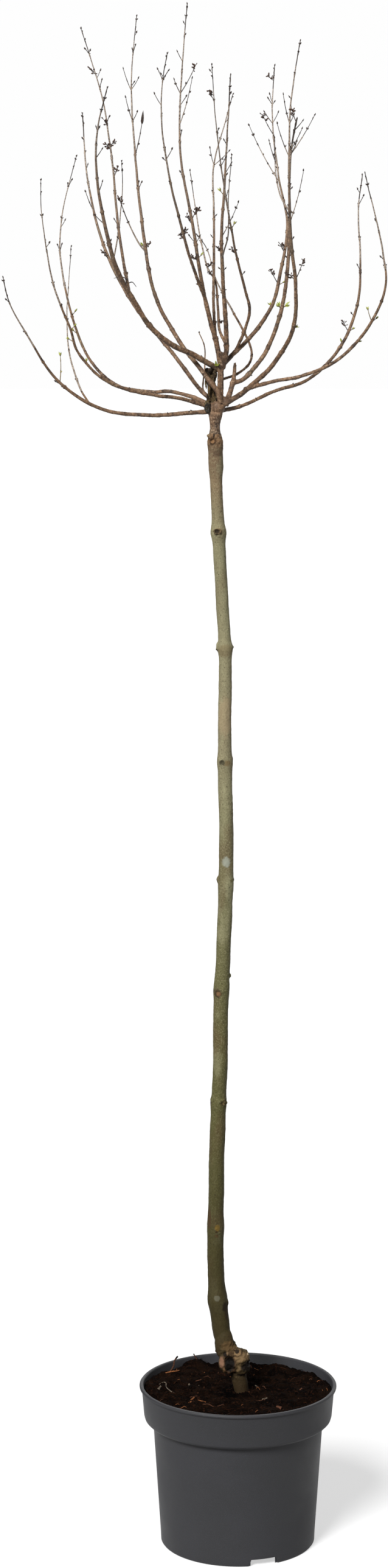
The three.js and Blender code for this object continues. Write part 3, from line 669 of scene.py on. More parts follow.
# the stem
stemLooks = {
    "topHeight": 1571,
    "step": 3,
    "sides": 20,
    "voxel": 1.12,
    "smoothing": 3,
    # grain size, depth and how far the grain is drawn out upwards
    "relief": [(14, 1.6, 2.5), (2.6, 0.5, 1.6)],
    # centre, reach, depth and grain of the knotty bark: the knob, the graft and the knots
    "gnarled": [((-4, -4, 266), 34, 1.8, 5), ((-33, -2, 1563), 16, 1.1, 4), ((-31, -8, 1440), 9, 1, 3),
                ((-28, -10, 798), 9, 1, 3), ((-21, -12, 641), 7, 1, 3), ((-29, -12, 457), 9, 0.9, 3)],
    # height, extra radius, reach: the wide shoulder under the upper graft and the neck above it
    "shoulders": [(1561, 2.2, 10), (1525, 0.7, 14), (1581, -0.8, 10), (1500, -0.6, 20), (226, -4.6, 20)],
    # centre, half sizes towards the front, across and up: the knob where the plant was grafted
    "knob": [((-12, -6, 263), (14.5, 16, 16.5)), ((2, -5, 269), (13, 15, 14)), ((4, -4, 256), (12, 13, 12)),
             ((-20, -1, 290), (11.5, 13.6, 24)), ((-6, 4, 263), (13, 18, 16))],
    # height, shift to the right, extra radius: where the bark leaves the model's even line
    "trims": [(285, 0, 0.2), (300, -0.7, 0.2), (322, 0.6, 0.7), (350, -0.5, 0.4), (384, -0.9, 0),
              (419, -1.4, 0), (463, -0.9, -0.3), (508, -0.3, 0), (561, -1.4, 0), (605, -1.3, 0.2),
              (640, -0.8, -0.4), (692, 0, 0), (753, -1.4, 0.4), (796, -1.6, 0.4), (857, -0.2, 0.4),
              (909, 1, 0.9), (982, 1.7, 0.9), (1029, 1.2, 0.9), (1080, -0.9, 1), (1156, -1.5, 0.7),
              (1199, -1, 0.6), (1249, 1.1, 0.5), (1278, 1.6, 0.2), (1308, 0.6, 0.3), (1350, 0, 0.6),
              (1400, -0.6, 0.7), (1466, -0.8, 0.6), (1500, -0.7, 1.6), (1530, -0.2, 0.4), (1546, 0, 0)],
    # toward, height, reach of the middle, half sizes: bud scars, side stubs and small spurs
    "spurs": [(185, 1567, 9.2, (1.9, 1.7, 2.2)), (5, 1552, 9.8, (1.4, 1.4, 1.6)), (2, 1526, 8.5, (2, 3, 10)),
              (185, 277, 18.8, (2.2, 1.8, 2.4)), (352, 287, 13.6, (2.2, 1.6, 1.8)),
              (190, 349, 10.8, (3.8, 3.6, 8)), (350, 346, 10.8, (4.2, 4, 8)),
              (182, 641, 10.4, (2.4, 2.4, 4)), (290, 641, 9.2, (3.4, 5, 4)), (340, 639, 10.4, (2.4, 2, 2.4)),
              (250, 798, 8.8, (3.6, 6, 6.4)), (190, 800, 10.6, (2.4, 2.6, 4)), (2, 818, 9.7, (2, 1.8, 3)),
              (182, 957, 8.8, (2.8, 3, 6)), (182, 955, 11.2, (1.5, 1.3, 1.6)), (357, 957, 9.2, (3, 3, 6)),
              (357, 955, 12, (1.7, 1.5, 2)), (300, 957, 9, (1.8, 2.6, 2.6)), (265, 1122, 8.8, (2.2, 5, 4)),
              (0, 1121, 8.4, (1.6, 3, 6)), (184, 1279, 8.6, (2.6, 3, 7)), (184, 1276, 10.8, (1.5, 1.3, 1.7)),
              (356, 1279, 9.4, (2.8, 3, 7)), (356, 1279, 12.2, (1.7, 1.5, 2)),
              (270, 1440, 7.6, (3.4, 7, 4.6))],
    # centre, size across, thickness, lean: raised rings of bark round the old cuts
    "rings": [((-12.5, -14.5, 263), (10.5, 15), 3.6, 8), ((-1.6, -14, 280.5), (7.5, 6.6), 2, -35),
              ((-37.4, -9.2, 1563.5), (4.6, 5), 2.4, 5), ((-31, -9, 1440), (6.4, 4.4), 2.2, 0),
              ((-21, -13.2, 641), (5, 4), 2, 0), ((-28.6, -13, 798.5), (5.6, 6.4), 2, 0),
              ((-23.6, -11, 1122), (4.6, 4.2), 2, 0)],
    # centre, reach, push: hollows in the knob, the graft and the knots
    "dents": [((-12, -20, 268), 10, (0, 7, 0)), ((-11, -20, 257), 9, (0, 6, 0)),
              ((-1.6, -18, 280.5), 4.5, (0, 3, 0)), ((-18, -15, 239), 8, (2, 6, 3)),
              ((-35, -12, 1569), 3, (0, 3.2, 0)), ((-38, -11, 1563), 3.4, (0, 2.6, 0)),
              ((-31, -13, 1440), 4.4, (0, 2.6, 0)), ((-21, -16, 641), 4, (0, 2.4, 0)),
              ((-23.6, -13.5, 1122), 4, (0, 2, 0)), ((16, -10, 262), 6, (-1.5, 2, 0))],
}


def ring(centre, size, thick, lean):
    # a lip of bark facing the front, grown round a cut
    bpy.ops.mesh.primitive_torus_add(location=(0, 0, 0), major_segments=36, minor_segments=10,
                                     major_radius=mm, minor_radius=thick * mm / 2 / max(size))
    lip = bpy.context.object
    lip.scale = (size[0] - thick / 2, size[1] - thick / 2, max(size) * 1.1)
    settle(lip)
    lip.rotation_euler = (math.radians(90 + lean), 0, 0)
    lip.location = Vector(centre) * mm
    return settle(lip)


def stemTrim(height):
    # the shift to the right and the extra radius at a height
    rows = stemLooks["trims"]
    if not rows[0][0] <= height <= rows[-1][0]:
        return 0, 0
    low, high = next(pair for pair in zip(rows, rows[1:]) if height <= pair[1][0])
    share = (height - low[0]) / (high[0] - low[0])
    return lerp(low[1], high[1], share), lerp(low[2], high[2], share)


def dressedRadius(height):
    return stemRadius(height) + stemTrim(height)[1] + swelling(height, stemLooks["shoulders"])


def makeStem():
    top = stemRoute.shareAtHeight(stemLooks["topHeight"])
    points = stemRoute.walk(0, top, stemLooks["step"])
    points = [point + Vector((stemTrim(point.z)[0], 0, 0)) for point in points]
    radii = [dressedRadius(point.z) for point in points]
    stem = tubesFrom("stem", [(points, radii, 0)], stemLooks["sides"])
    lumps = [ring(*row) for row in stemLooks["rings"]]
    lumps += [lump(Vector(centre), halves, 270) for centre, halves in stemLooks["knob"]]
    for toward, height, reach, halves in stemLooks["spurs"]:
        middle = stemRoute.at(stemRoute.shareAtHeight(height)) + heading(toward, 0) * reach
        lumps.append(lump(middle, halves, toward))
    fuse(stem, lumps, stemLooks)
    for row in stemLooks["dents"]:
        dent(stem, *row)
    gnarl(stem, stemLooks["gnarled"])
    return roughen(stem, stemLooks["relief"])


# the crotch and the boughs, fused into one piece of wood
boughLooks = {
    "step": 2.5,
    "sides": 12,
    "voxel": 0.93,
    "smoothing": 2,
    "relief": [(9, 0.8, 1), (2.2, 0.6, 1)],
    "rootDepth": 5,
    "nodeGrowth": 0.13,
    "nodeSpread": 3,
    "scarSize": (1.5, 1.5, 1.9),
    "stemFrom": 1563,
    "overlap": 1.5,
    # toward, out, up, half sizes about the fork: the knuckle and the roots of the limbs
    "knuckles": [(0, 0, -1, (9.6, 9.8, 10)), (350, 8.5, 7.5, (7, 6.5, 6.5)), (180, 7.5, -2, (6.5, 6.5, 7.5))],
    # the two stems that run up side by side from the knuckle: shift to the right, radius
    "twins": [(-1.7, 2.4), (2.4, 2.2)],
    "shallow": ["tall_right", "rear_sweep"],
    "shallowRoot": 1,
    "apart": ["rear_shoot", "dead", "centre"],
    "horns": [(190, 66, 3.2, 1.5), (15, 70, 3.8, 1.6)],
    # limb, toward, share along it: short dead spurs near the crotch
    "thorns": [("rear_left", 200, 0.1, 7, 2), ("right_back", 280, 0.12, 4, 1.4),
               ("front_left", 70, 0.25, 4, 1.6), ("low_left", 280, 0.16, 4, 1.4),
               ("front_right", 100, 0.2, 4, 1.6), ("low_right", 250, 0.3, 4, 1.4)],
}


def limbTube(limb, start, end, looks, nodes):
    # a limb's points and radii, swollen where pairs of buds sit
    points = []
    radii = []
    rows = [(node, 1, looks["nodeSpread"]) for node in nodes]
    for share in limb.route.between(start, end, looks["step"]):
        points.append(jitter(limb.route.at(share), 0.5))
        swell = 1 + looks["nodeGrowth"] * swelling(share * limb.route.length, rows)
        radii.append(limb.radius(share) * swell)
    return points, radii


def boughNodes(limb):
    end = limb.split * limb.route.length
    count = int(end // growth["internode"])
    return [growth["internode"] * (index + 0.6) for index in range(count)]


def makeBoughs():
    low = stemRoute.shareAtHeight(boughLooks["stemFrom"])
    points = stemRoute.walk(low, 1, boughLooks["step"])
    tubes = [(points, [dressedRadius(point.z) + 0.2 for point in points], 0)]
    lumps = []
    for limb in grown.values():
        if limb.name in boughLooks["apart"]:
            continue
        end = limb.split + boughLooks["overlap"] / limb.route.length if limb.split < 1 else 1
        nodes = boughNodes(limb)
        points, radii = limbTube(limb, 0, end, boughLooks, nodes)
        depth = boughLooks["shallowRoot"] if limb.name in boughLooks["shallow"] else boughLooks["rootDepth"]
        root = points[0] + (points[0] - points[1]).normalized() * depth
        tubes.append(([root, *points], [radii[0], *radii], 0))
        for index, run in enumerate(nodes):
            share = run / limb.route.length
            for side in (0, 180):
                out = heading(index * 90 + side + 20, 10) * limb.radius(share) * 0.95
                lumps.append(lump(limb.route.at(share) + out, boughLooks["scarSize"], 0))
    for shift, radius in boughLooks["twins"]:
        points = grown["centre"].route.walk(0, 1, boughLooks["step"])
        points = [point + Vector((shift, 0, 0)) for point in points]
        tubes.append((points, [radius] * len(points), 0))
    top = grown["snag"].route.at(1)
    for toward, rise, length, thick in boughLooks["horns"]:
        tip = top + heading(toward, rise) * length
        tubes.append(([top - Vector((0, 0, 3)), top, tip], [thick, thick, 0.5], 0))
    for name, toward, share, length, thick in boughLooks["thorns"]:
        foot = grown[name].route.at(share)
        tip = foot + heading(toward, 40) * (grown[name].radius(share) + length)
        tubes.append(([foot, tip], [thick, 0.5], 0))
    boughs = tubesFrom("boughs", tubes, boughLooks["sides"])
    fuse(boughs, lumps + lumpsAboutFork(boughLooks["knuckles"]), boughLooks)
    return roughen(boughs, boughLooks["relief"])


# dead wood: the hollow stub, and the grey callus where a limb was cut away
deadLooks = {
    "voxel": 0.7,
    "smoothing": 2,
    "relief": [(5, 3.6, 1.8), (2.2, 1.8, 1.5)],
    "hollowShare": 0.62,
    "hollowDepth": 16,
    "waist": 0.7,  # how slim the stub is at its foot, and how far it stands to the left there
    "lean": -1.6,
    # toward, out, up, half sizes about the fork: knots, the torn rim, a curl of bark and last the callus
    "knots": [(175, 15, 47, (2.6, 3, 4.5)), (212, 13, 49, (3, 2.6, 3)), (120, 12, 49, (3.4, 3, 3.4)),
              (232, 7, 44, (3.4, 2.6, 6)), (222, 8, 30, (2.6, 2, 9)), (250, 4, 16, (2.4, 2.2, 9)),
              (202, 13, 24, (2, 2.2, 11)), (182, 16, 33, (1.2, 1.8, 12)), (165, 13, 12, (3, 3, 6)),
              (202, 15.5, 0, (4.6, 5, 9.5))],
}


def makeDeadWood():
    stub = grown["dead"]
    shares = stub.route.between(0, 1, 2)
    points = [stub.route.at(share) + Vector((deadLooks["lean"] * (1 - share), 0, 0)) for share in shares]
    radii = [stub.radius(share) * lerp(deadLooks["waist"], 1.02, share ** 2) for share in shares]
    shell = tubesFrom("dead_wood", [(points, radii, 0)], 24)
    shares = stub.route.between(1 - deadLooks["hollowDepth"] / stub.route.length, 1, 2)
    points = [stub.route.at(share) for share in shares]
    points.append(points[-1] + stub.route.ahead(1) * 8)
    radii = [stub.radius(share) * deadLooks["hollowShare"] for share in shares]
    radii.append(radii[-1] * 1.2)
    carve(shell, tubesFrom("hollow", [(points, radii, 0)], 16))
    fuse(shell, lumpsAboutFork(deadLooks["knots"]), deadLooks)
    return roughen(shell, deadLooks["relief"])


# the masses: each limb's stem grows on with whips, twigs, buds and seed heads
twigLooks = {
    "step": 2.0,
    "sides": 8,
    "nodeSpread": 1.5,
    "nodeGrowth": 0.5,
    "sideTwigs": 0.58,  # how thick the side twigs are drawn, next to the model's
    "tipThin": 0.66,  # and how thin the stems get towards their tips
    "budLength": 3.2,
    "budWidth": 2.0,
    "oneSided": 0.3,
    "tipBudLength": 4.0,
    "tipNodes": (8, 19),
    "twigNode": 15,
    "tones": {"plain": 0, "seeds": 1, "leaf": 2, "spindle": 1},
    "greyBelow": 1.35,  # stems thinner than this, in mm of radius, are greyer
    "darkTip": 34,  # and dark over this length, in mm, or this share of them, at their ends
    "darkShare": 0.72,
    "clusterHusks": 11,
    "clusterSpread": 3.2,
    "clusterLength": 9,
    "huskLength": 2.9,
    "huskWidth": 0.72,  # as a share of its length
    "leafLength": 6.6,
    # pairs of blades: how far they lean out and their size
    "blades": {"leaf": [(15, 0.72)], "leaves": [(34, 1.0), (12, 1.2)]},
    "spindle": (15, 4.2, 19),  # how far below the tip it starts, its width and its length
    "stalkThick": (0.75, 0.35),
    "pairRise": 15,
}
# limb, height above the fork, toward, reach and end of the buds that have burst on the boughs
budsLower = [
    ("tall_right", 131, 190, 4, "leaves"), ("tall_right", 134, 10, 4, "leaves"),
    ("tall_right", 133, 100, 3, "leaf"), ("rear_right", 135, 175, 2, "leaf"),
    ("front_right", 107, 10, 3, "leaf"), ("right_back", 84, 200, 3, "leaf"),
    ("front_left", 52.5, 340, 4, "leaves"), ("low_right", 88, 40, 3, "leaf"),
    ("left_front", 60, 30, 3, "leaf"),
]
# two dry stalks that hang over the left bough
dryStalks = [
    [(210, 139, 170), (208, 146, 174), (206, 155, 172)],
    [(204, 131, 166), (202, 124, 167), (200, 117, 161)],
]
# the shoot that rises behind the boughs
shootLooks = {"step": 2.2, "nodeGrowth": 0.3, "nodeSpread": 2, "nodes": [30, 62, 95], "end": 0.97}
crown = {"wood": [], "buds": [], "greenBuds": [], "husks": [], "leaves": []}
taken = []


def takeRoom(owner, points, radii):
    for first, second, here, there in zip(points, points[1:], radii, radii[1:]):
        taken.append((owner, first, second - first, max(here, there)))


def takeRoute(owner, route, radiusAt, stride):
    shares = route.between(0, 1, stride)
    takeRoom(owner, [route.at(share) for share in shares], [radiusAt(share) for share in shares])


def hasRoom(owner, points, radius):
    for point in points[1:]:
        for other, first, along, thick in taken:
            if other == owner:
                continue
            share = min(max((point - first).dot(along) / along.length_squared, 0), 1)
            if (first + along * share - point).length <= thick + radius + growth["elbowRoom"]:
                return False
    return True


def standing(position, direction, width, length, spin=0.0):
    turn = direction.to_track_quat("Z", "Y").to_matrix() @ Matrix.Rotation(spin, 3, "Z")
    sized = turn @ Matrix.Diagonal((width, width, length))
    return Matrix.Translation(position) @ sized.to_4x4()


def addBud(position, direction, size=1.0, green=False, spin=0.0):
    kind = "greenBuds" if green else "buds"
    width, length = twigLooks["budWidth"] * size, twigLooks["budLength"] * size
    crown[kind].append(standing(position, direction, width, length, spin))


def addBudPair(point, ahead, turn, radius, draw, green=False):
    for side in (0, 180):
        out = heading(turn + side, twigLooks["pairRise"])
        out = (out - ahead * out.dot(ahead)).normalized()
        lean = (out + ahead * (1.0 + 1.4 * draw())).normalized()
        size = 0.7 + 0.5 * draw()
        if draw() > twigLooks["oneSided"]:
            addBud(point + out * radius * 0.8, lean, size, green, draw() * 6)


def addStem(points, radii, nodes, tone, scale=1.0):
    # a stem with its swollen nodes, greyer where it is thin and dark at its end
    run = 0.0
    swollen = []
    rows = [(node, 1, twigLooks["nodeSpread"]) for node in nodes]
    for index, radius in enumerate(radii):
        if index:
            run += (points[index] - points[index - 1]).length
        swell = 1 + twigLooks["nodeGrowth"] * swelling(run, rows)
        swollen.append(radius * scale * swell)
    if tone:
        crown["wood"].append((points, swollen, tone))
        return
    grey = sum(radius > twigLooks["greyBelow"] for radius in radii)
    darkLength = min(twigLooks["darkTip"], run * twigLooks["darkShare"])
    dark = max(grey, len(points) - round(len(points) * darkLength / run))
    for first, last, shade in ((0, grey, 0), (grey - 1, dark, 3), (dark - 1, len(points), 1)):
        first = max(first, 0)
        if last - first > 1:
            crown["wood"].append((points[first:last], swollen[first:last], shade))


def addEnd(kind, tip, ahead, draw):
    # what a twig ends in: a pair of buds, last year's seed head or buds that have burst
    if kind == "seeds":
        for index in range(twigLooks["clusterHusks"]):
            out = heading(draw() * 360, draw() * 70 - 20)
            centre = tip + ahead * (index / twigLooks["clusterHusks"] - 0.8) * twigLooks["clusterLength"]
            end = centre + out * twigLooks["clusterSpread"] * (0.25 + 0.75 * draw())
            size = twigLooks["huskLength"] * (0.7 + 0.6 * draw())
            lean = (out + ahead * draw()).normalized()
            crown["husks"].append(standing(end, lean, size * twigLooks["huskWidth"], size, draw() * 6))
            crown["wood"].append(([centre, end], [0.5, 0.4], twigLooks["tones"]["seeds"]))
        return
    if kind == "spindle":
        below, width, length = twigLooks["spindle"]
        addBud(tip - ahead * 12, ahead, 1.9)
        crown["buds"].append(standing(tip - ahead * below, ahead, width, length, 0))
        return
    if kind in twigLooks["blades"]:
        turn = draw() * 180
        for pair, (lean, size) in enumerate(twigLooks["blades"][kind]):
            for side in (0, 180):
                out = heading(turn + pair * 90 + side, 0)
                out = (out - ahead * out.dot(ahead)).normalized()
                way = ahead * math.cos(math.radians(lean)) + out * math.sin(math.radians(lean))
                length = twigLooks["leafLength"] * size * (0.8 + 0.4 * draw())
                back = (out - way * out.dot(way)).normalized()
                sized = Matrix((back.cross(way), back, way)).transposed() * length
                crown["leaves"].append(Matrix.Translation(tip - ahead * 1.5) @ sized.to_4x4())
        addBud(tip - ahead * 2, ahead, 1.35, True)
        addBud(tip - ahead * 2.6, ahead, 1.0)
        return
    spread = heading(draw() * 360, 0)
    spread = (spread - ahead * spread.dot(ahead)).normalized() * 0.3
    for side, size in ((-1, 1.1), (1, 0.8)):
        addBud(tip - ahead * twigLooks["tipBudLength"] * 0.9, (ahead + spread * side).normalized(), size)


def twigPoints(base, toward, rise, length, step):
    middle = base + heading(toward, rise - growth["twigLift"]) * length / 2
    tip = base + heading(toward, rise) * length
    count = max(1, round(length / step))
    shares = [index / count for index in range(count + 1)]
    return [base * (1 - t) ** 2 + middle * 2 * t * (1 - t) + tip * t ** 2 for t in shares]


def growSpurs(route, start, owner, draw, fine):
    turn = draw() * 180
    nodes = []
    run = growth["internode"]
    while run < (1 - start) * route.length - growth["spurTipClear"]:
        share = start + run / route.length
        point, ahead = route.at(share), route.ahead(share)
        turn += 90
        nodes.append((run, turn))
        for side in (0, 180):
            grows = draw() < growth["spurShare"]
            reach = lerp(*growth["spurLengths"], draw())
            out = (heading(turn + side, growth["spurRise"]) + ahead).normalized()
            line = [point, point + out * reach]
            radii = [thick / 2 for thick in growth["spurThick"]]
            if not grows or not hasRoom(owner, line, radii[0]):
                continue
            takeRoom(owner, line, radii)
            points = [point.lerp(line[1], step / 6) for step in range(7)]
            radii = [lerp(*radii, step / 6) for step in range(7)]
            addStem(points, radii, [reach * 0.7], 0, twigLooks["sideTwigs"])
            addEnd("plain", line[1], out, fine)
        run += growth["internode"]
    return nodes


def skipLumps(end, draw):
    # the model draws three numbers for each lump of a seed head
    for _ in range(3 * growth["seedLumps"] if end == "seeds" else 0):
        draw()


def growWhips(limb, draw):
    # the limb's own stem and its whips: line, share where it starts, radius along it, end
    stems = [(limb.route, limb.split, limb.radius, "plain")]
    for whip in limb.rows.get("whips", []):
        base = limb.route.at(limb.route.shareAtHeight(forkAt.z + whip["up"], limb.split))
        route = Route([base, *[aboutFork(bend) for bend in whip["bends"]]])
        foot, tip = [thick / 2 for thick in whip["thick"]]
        end = whip.get("end", "plain")
        stems.append((route, 0, lambda share, foot=foot, tip=tip: lerp(foot, tip, share), end))
        takeRoute(limb.name, route, stems[-1][2], 34)
        skipLumps(end, draw)
    return stems


def growTwigs(limb, draw, fine):
    for up, toward, rise, reach, *rest in limb.rows.get("twigs", []):
        end = rest[0] if rest else "plain"
        lowest = limb.split + 2 * growth["twigThick"][0] / limb.route.length
        share = limb.route.shareAtHeight(forkAt.z + up, lowest)
        coarse = twigPoints(limb.route.at(share), toward, rise, reach, 24)
        foot = min(growth["twigThick"][0] / 2, limb.radius(share) * growth["twigMostOfStem"])
        if not hasRoom(limb.name, coarse, foot):
            continue
        skipLumps(end, draw)
        takeRoom(limb.name, coarse, [foot] * len(coarse))
        points = twigPoints(limb.route.at(share), toward, rise, reach, twigLooks["step"])
        last = len(points) - 1
        radii = [lerp(foot, growth["twigThick"][1] / 2, index / last) for index in range(len(points))]
        nodes = list(np.arange(twigLooks["twigNode"], reach - 6, twigLooks["twigNode"]))
        addStem(points, radii, nodes, twigLooks["tones"][end], twigLooks["sideTwigs"])
        for index, run in enumerate(nodes):
            place = min(int(run / reach * last), last - 1)
            ahead = (points[place + 1] - points[place]).normalized()
            addBudPair(points[place], ahead, toward + 90 * index, radii[place] * 0.7, fine, end == "leaf")
        addEnd(end, points[-1], (points[-1] - points[-2]).normalized(), fine)


def growMass(limb, seed):
    draw = seededDraws(seed)
    fine = seededDraws(seed + 1000)
    stems = growWhips(limb, draw)
    growTwigs(limb, draw, fine)
    for route, first, radiusAt, end in stems:
        nodes = growSpurs(route, first, limb.name, draw, fine)
        last = 1 - (0 if end == "seeds" else 0.7 * twigLooks["tipBudLength"] / route.length)
        length = (1 - first) * route.length
        for back in twigLooks["tipNodes"]:
            nodes.append((length - back, nodes[-1][1] + 90 if nodes else 0))
        shares = route.between(max(first - 1.5 / route.length, 0), last, twigLooks["step"])
        points = [jitter(route.at(share), 0.5) for share in shares]
        thin = [lerp(1, twigLooks["tipThin"], (share - first) / (1 - first)) for share in shares]
        radii = [radiusAt(share) * less for share, less in zip(shares, thin)]
        addStem(points, radii, [run for run, _ in nodes], 0)
        for run, turn in nodes:
            share = first + run / route.length
            addBudPair(jitter(route.at(share), 0.5), route.ahead(share), turn, radiusAt(share) * 0.8, fine)
        addEnd(end, route.at(1), route.ahead(1), fine)


for limb in grown.values():
    takeRoute(limb.name, limb.route, limb.radius, 12)
for seed, limb in enumerate(grown.values(), 2):
    if "boughEnd" in limb.rows:
        growMass(limb, seed)
for name, up, toward, reach, kind in budsLower:
    limb = grown[name]
    share = limb.route.shareAtHeight(forkAt.z + up)
    ahead = limb.route.ahead(share)
    out = heading(toward, 10)
    out = (out - ahead * out.dot(ahead)).normalized()
    foot = limb.route.at(share) + out * limb.radius(share) * 0.7
    line = [foot.lerp(foot + (out + ahead * 0.8).normalized() * reach, step / 4) for step in range(5)]
    crown["wood"].append((line, [0.9, 0.8, 0.75, 0.7, 0.65], twigLooks["tones"]["leaf"]))
    addEnd(kind, line[-1], (line[-1] - line[0]).normalized(), seededDraws(int(up)))
for limb in grown.values():
    fine = seededDraws(len(limb.name) + int(limb.route.length))
    for index, run in enumerate(boughNodes(limb) if "boughEnd" in limb.rows else []):
        share = run / limb.route.length
        addBudPair(limb.route.at(share), limb.route.ahead(share), index * 90 + 20, limb.radius(share), fine)
for bends in dryStalks:
    line = routeAboutFork(bends)
    shares = line.between(0, 1, 1.2)
    radii = [lerp(*twigLooks["stalkThick"], share) for share in shares]
    crown["wood"].append(([line.at(share) for share in shares], radii, twigLooks["tones"]["seeds"]))
shoot = grown["rear_shoot"]
crown["wood"].append((*limbTube(shoot, 0, shootLooks["end"], shootLooks, shootLooks["nodes"]), 0))
addEnd("plain", shoot.route.at(1), shoot.route.ahead(1), seededDraws(77))
print("grew", {kind: len(things) for kind, things in crown.items()})


# one bud, one husk and one leaf, each modelled once, one unit long and standing on its foot
def shapedBall(segments, rings, shape):
    bpy.ops.mesh.primitive_uv_sphere_add(segments=segments, ring_count=rings, radius=0.5,
                                         location=(0, 0, 0.5))
    ball = settle(bpy.context.object)
    for vertex in ball.data.vertices:
        vertex.co = shape(vertex.co.copy())
    return ball


def budShape(point):
    # fullest low down, drawn to a point, with the keels of its scales
    pinch = (1 - point.z) ** 0.55 * 1.25 * (0.85 + 0.15 * math.cos(4 * math.atan2(point.y, point.x)))
    return Vector((point.x * pinch, point.y * pinch, point.z))


def huskShape(point):
    # a plump dry bud with a blunt, slightly bent tip
    pinch = 1.1 - 0.25 * point.z
    return Vector((point.x * pinch + 0.15 * point.z ** 2, point.y * pinch * 0.85, point.z))


def makeLeaf():
    # a folded young blade, bent outwards at its tip
    bpy.ops.mesh.primitive_grid_add(x_subdivisions=4, y_subdivisions=6, size=1, location=(0, 0, 0))
    blade = settle(bpy.context.object)
    for vertex in blade.data.vertices:
        across, along = vertex.co.x * 2, vertex.co.y + 0.5
        width = 0.2 * math.sin(math.pi * along ** 0.75) ** 0.8 if 0 < along < 1 else 0.02
        fold = abs(across) * width * 0.8
        curl = 0.16 * along ** 2
        vertex.co = Vector((across * width, curl + fold, along))
    finishWith(blade, "SOLIDIFY", thickness=0.035, offset=0)
    return blade


def makeCrumb():
    bpy.ops.mesh.primitive_ico_sphere_add(subdivisions=1, radius=0.5, location=(0, 0, 0))
    crumb = settle(bpy.context.object)
    for vertex in crumb.data.vertices:
        vertex.co *= 1 + 0.9 * noise.noise(vertex.co * 3)
    return crumb


def copiesOf(pattern, places, name, smooth=True):
    # one mesh with a copy of the pattern at every place
    corners = np.array([vertex.co[:] for vertex in pattern.data.vertices])
    faces = [list(face.vertices) for face in pattern.data.polygons]
    allCorners = []
    allFaces = []
    for index, place in enumerate(places):
        matrix = np.array(place)
        allCorners.append((corners @ matrix[:3, :3].T + matrix[:3, 3]) * mm)
        allFaces += [[corner + index * len(corners) for corner in face] for face in faces]
    mesh = bpy.data.meshes.new(name)
    mesh.from_pydata(np.concatenate(allCorners).tolist(), [], allFaces)
    piece = bpy.data.objects.new(name, mesh)
    scene.collection.objects.link(piece)
    bpy.data.objects.remove(pattern)
    return smoothShade(piece) if smooth else piece


# the pot: one wall raised ring by ring from its foot, over the lip and down inside
potShape = {
    "facets": 120,
    "height": 230,
    "rimRadius": 140,
    "lipHeight": 3.8,
    "collarTop": 137,
    "collarFoot": 133.5,
    "collarHeight": 52.5,
    "collarRound": 9,
    "neckRadius": 120.5,
    "baseRadius": 109.5,
    "wall": 2.6,
    "pocket": 10.5,  # how high the underside is hollow within its foot ring
    "footRing": 3.6,
    "floor": 13,
    "rounding": 0.9,
    "bevelFrom": 28,
    "smoothBelow": 35,
    "notches": 3,
    "notchWidth": 50,
    "notchTopWidth": 37,
    "notchHeight": 10,
    "notchTurn": 19,
}


def potProfile():
    # radius and height of each ring: up the outside from the foot, over the lip and down inside
    p = potShape
    foot, neck, collar, rim = p["baseRadius"], p["neckRadius"], p["collarTop"], p["rimRadius"]
    top, lip, wall, bend = p["height"], p["height"] - p["lipHeight"], p["wall"], p["collarRound"]
    shoulder = top - p["collarHeight"]
    under = [(p["collarFoot"] - bend + bend * math.sin(math.radians(angle)),
              shoulder + bend - bend * math.cos(math.radians(angle))) for angle in (0, 30, 60, 90)]
    outside = [(foot - p["footRing"], p["pocket"]), (foot - p["footRing"], 0), (foot - 1.5, 0), (foot, 2),
               (foot + 0.5, p["notchHeight"] + 3), (neck, shoulder - 2), (neck + 1.2, shoulder - 0.2), *under,
               (collar - 0.2, lip - 1.2), (rim - 0.3, lip + 0.2), (rim, lip + 1.4), (rim, top - 1.6),
               (rim - 1.2, top)]
    inside = [(collar - wall + 1, top), (collar - wall, top - 1.5), (p["collarFoot"] - wall, shoulder + bend),
              (neck - wall, shoulder), (foot + 0.5 - wall, p["floor"])]
    return outside + inside


def makePot():
    profile = potProfile()
    radius, height = profile[0]
    pot = disc(potShape["facets"], radius, height)
    edit(pot, kind="VERT")
    for nextRadius, nextHeight in profile[1:]:
        rise = (nextHeight - height) * mm
        bpy.ops.mesh.extrude_region_move(TRANSFORM_OT_translate={"value": (0, 0, rise)})
        ratio = nextRadius / radius
        bpy.ops.transform.resize(value=(ratio, ratio, 1), center_override=(0, 0, nextHeight * mm))
        radius, height = nextRadius, nextHeight
    turnOutward()
    for index in range(potShape["notches"]):
        cutNotch(pot, -90 + potShape["notchTurn"] + index * 360 / potShape["notches"])
    finishWith(pot, "BEVEL", width=potShape["rounding"] * mm, segments=2, limit_method="ANGLE",
               angle_limit=math.radians(potShape["bevelFrom"]))
    bpy.ops.object.shade_smooth_by_angle(angle=math.radians(potShape["smoothBelow"]))
    return settle(pot, "pot_shell")


def cutNotch(pot, turn):
    # a drain notch with slanting sides
    p = potShape
    bpy.ops.mesh.primitive_cube_add(size=1, location=(0, 0, 0))
    block = bpy.context.object
    block.scale = (p["wall"] * 4 * mm, p["notchWidth"] * mm, p["notchHeight"] * 2 * mm)
    settle(block)
    edit(block, "DESELECT")
    bpy.ops.object.mode_set(mode="OBJECT")
    for face in block.data.polygons:
        face.select = face.normal.z > 0.9
    bpy.ops.object.mode_set(mode="EDIT")
    bpy.ops.transform.resize(value=(1, p["notchTopWidth"] / p["notchWidth"], 1))
    bpy.ops.object.mode_set(mode="OBJECT")
    block.location = heading(turn, 0) * p["baseRadius"] * mm
    block.rotation_euler.z = math.radians(turn)
    carve(pot, settle(block))


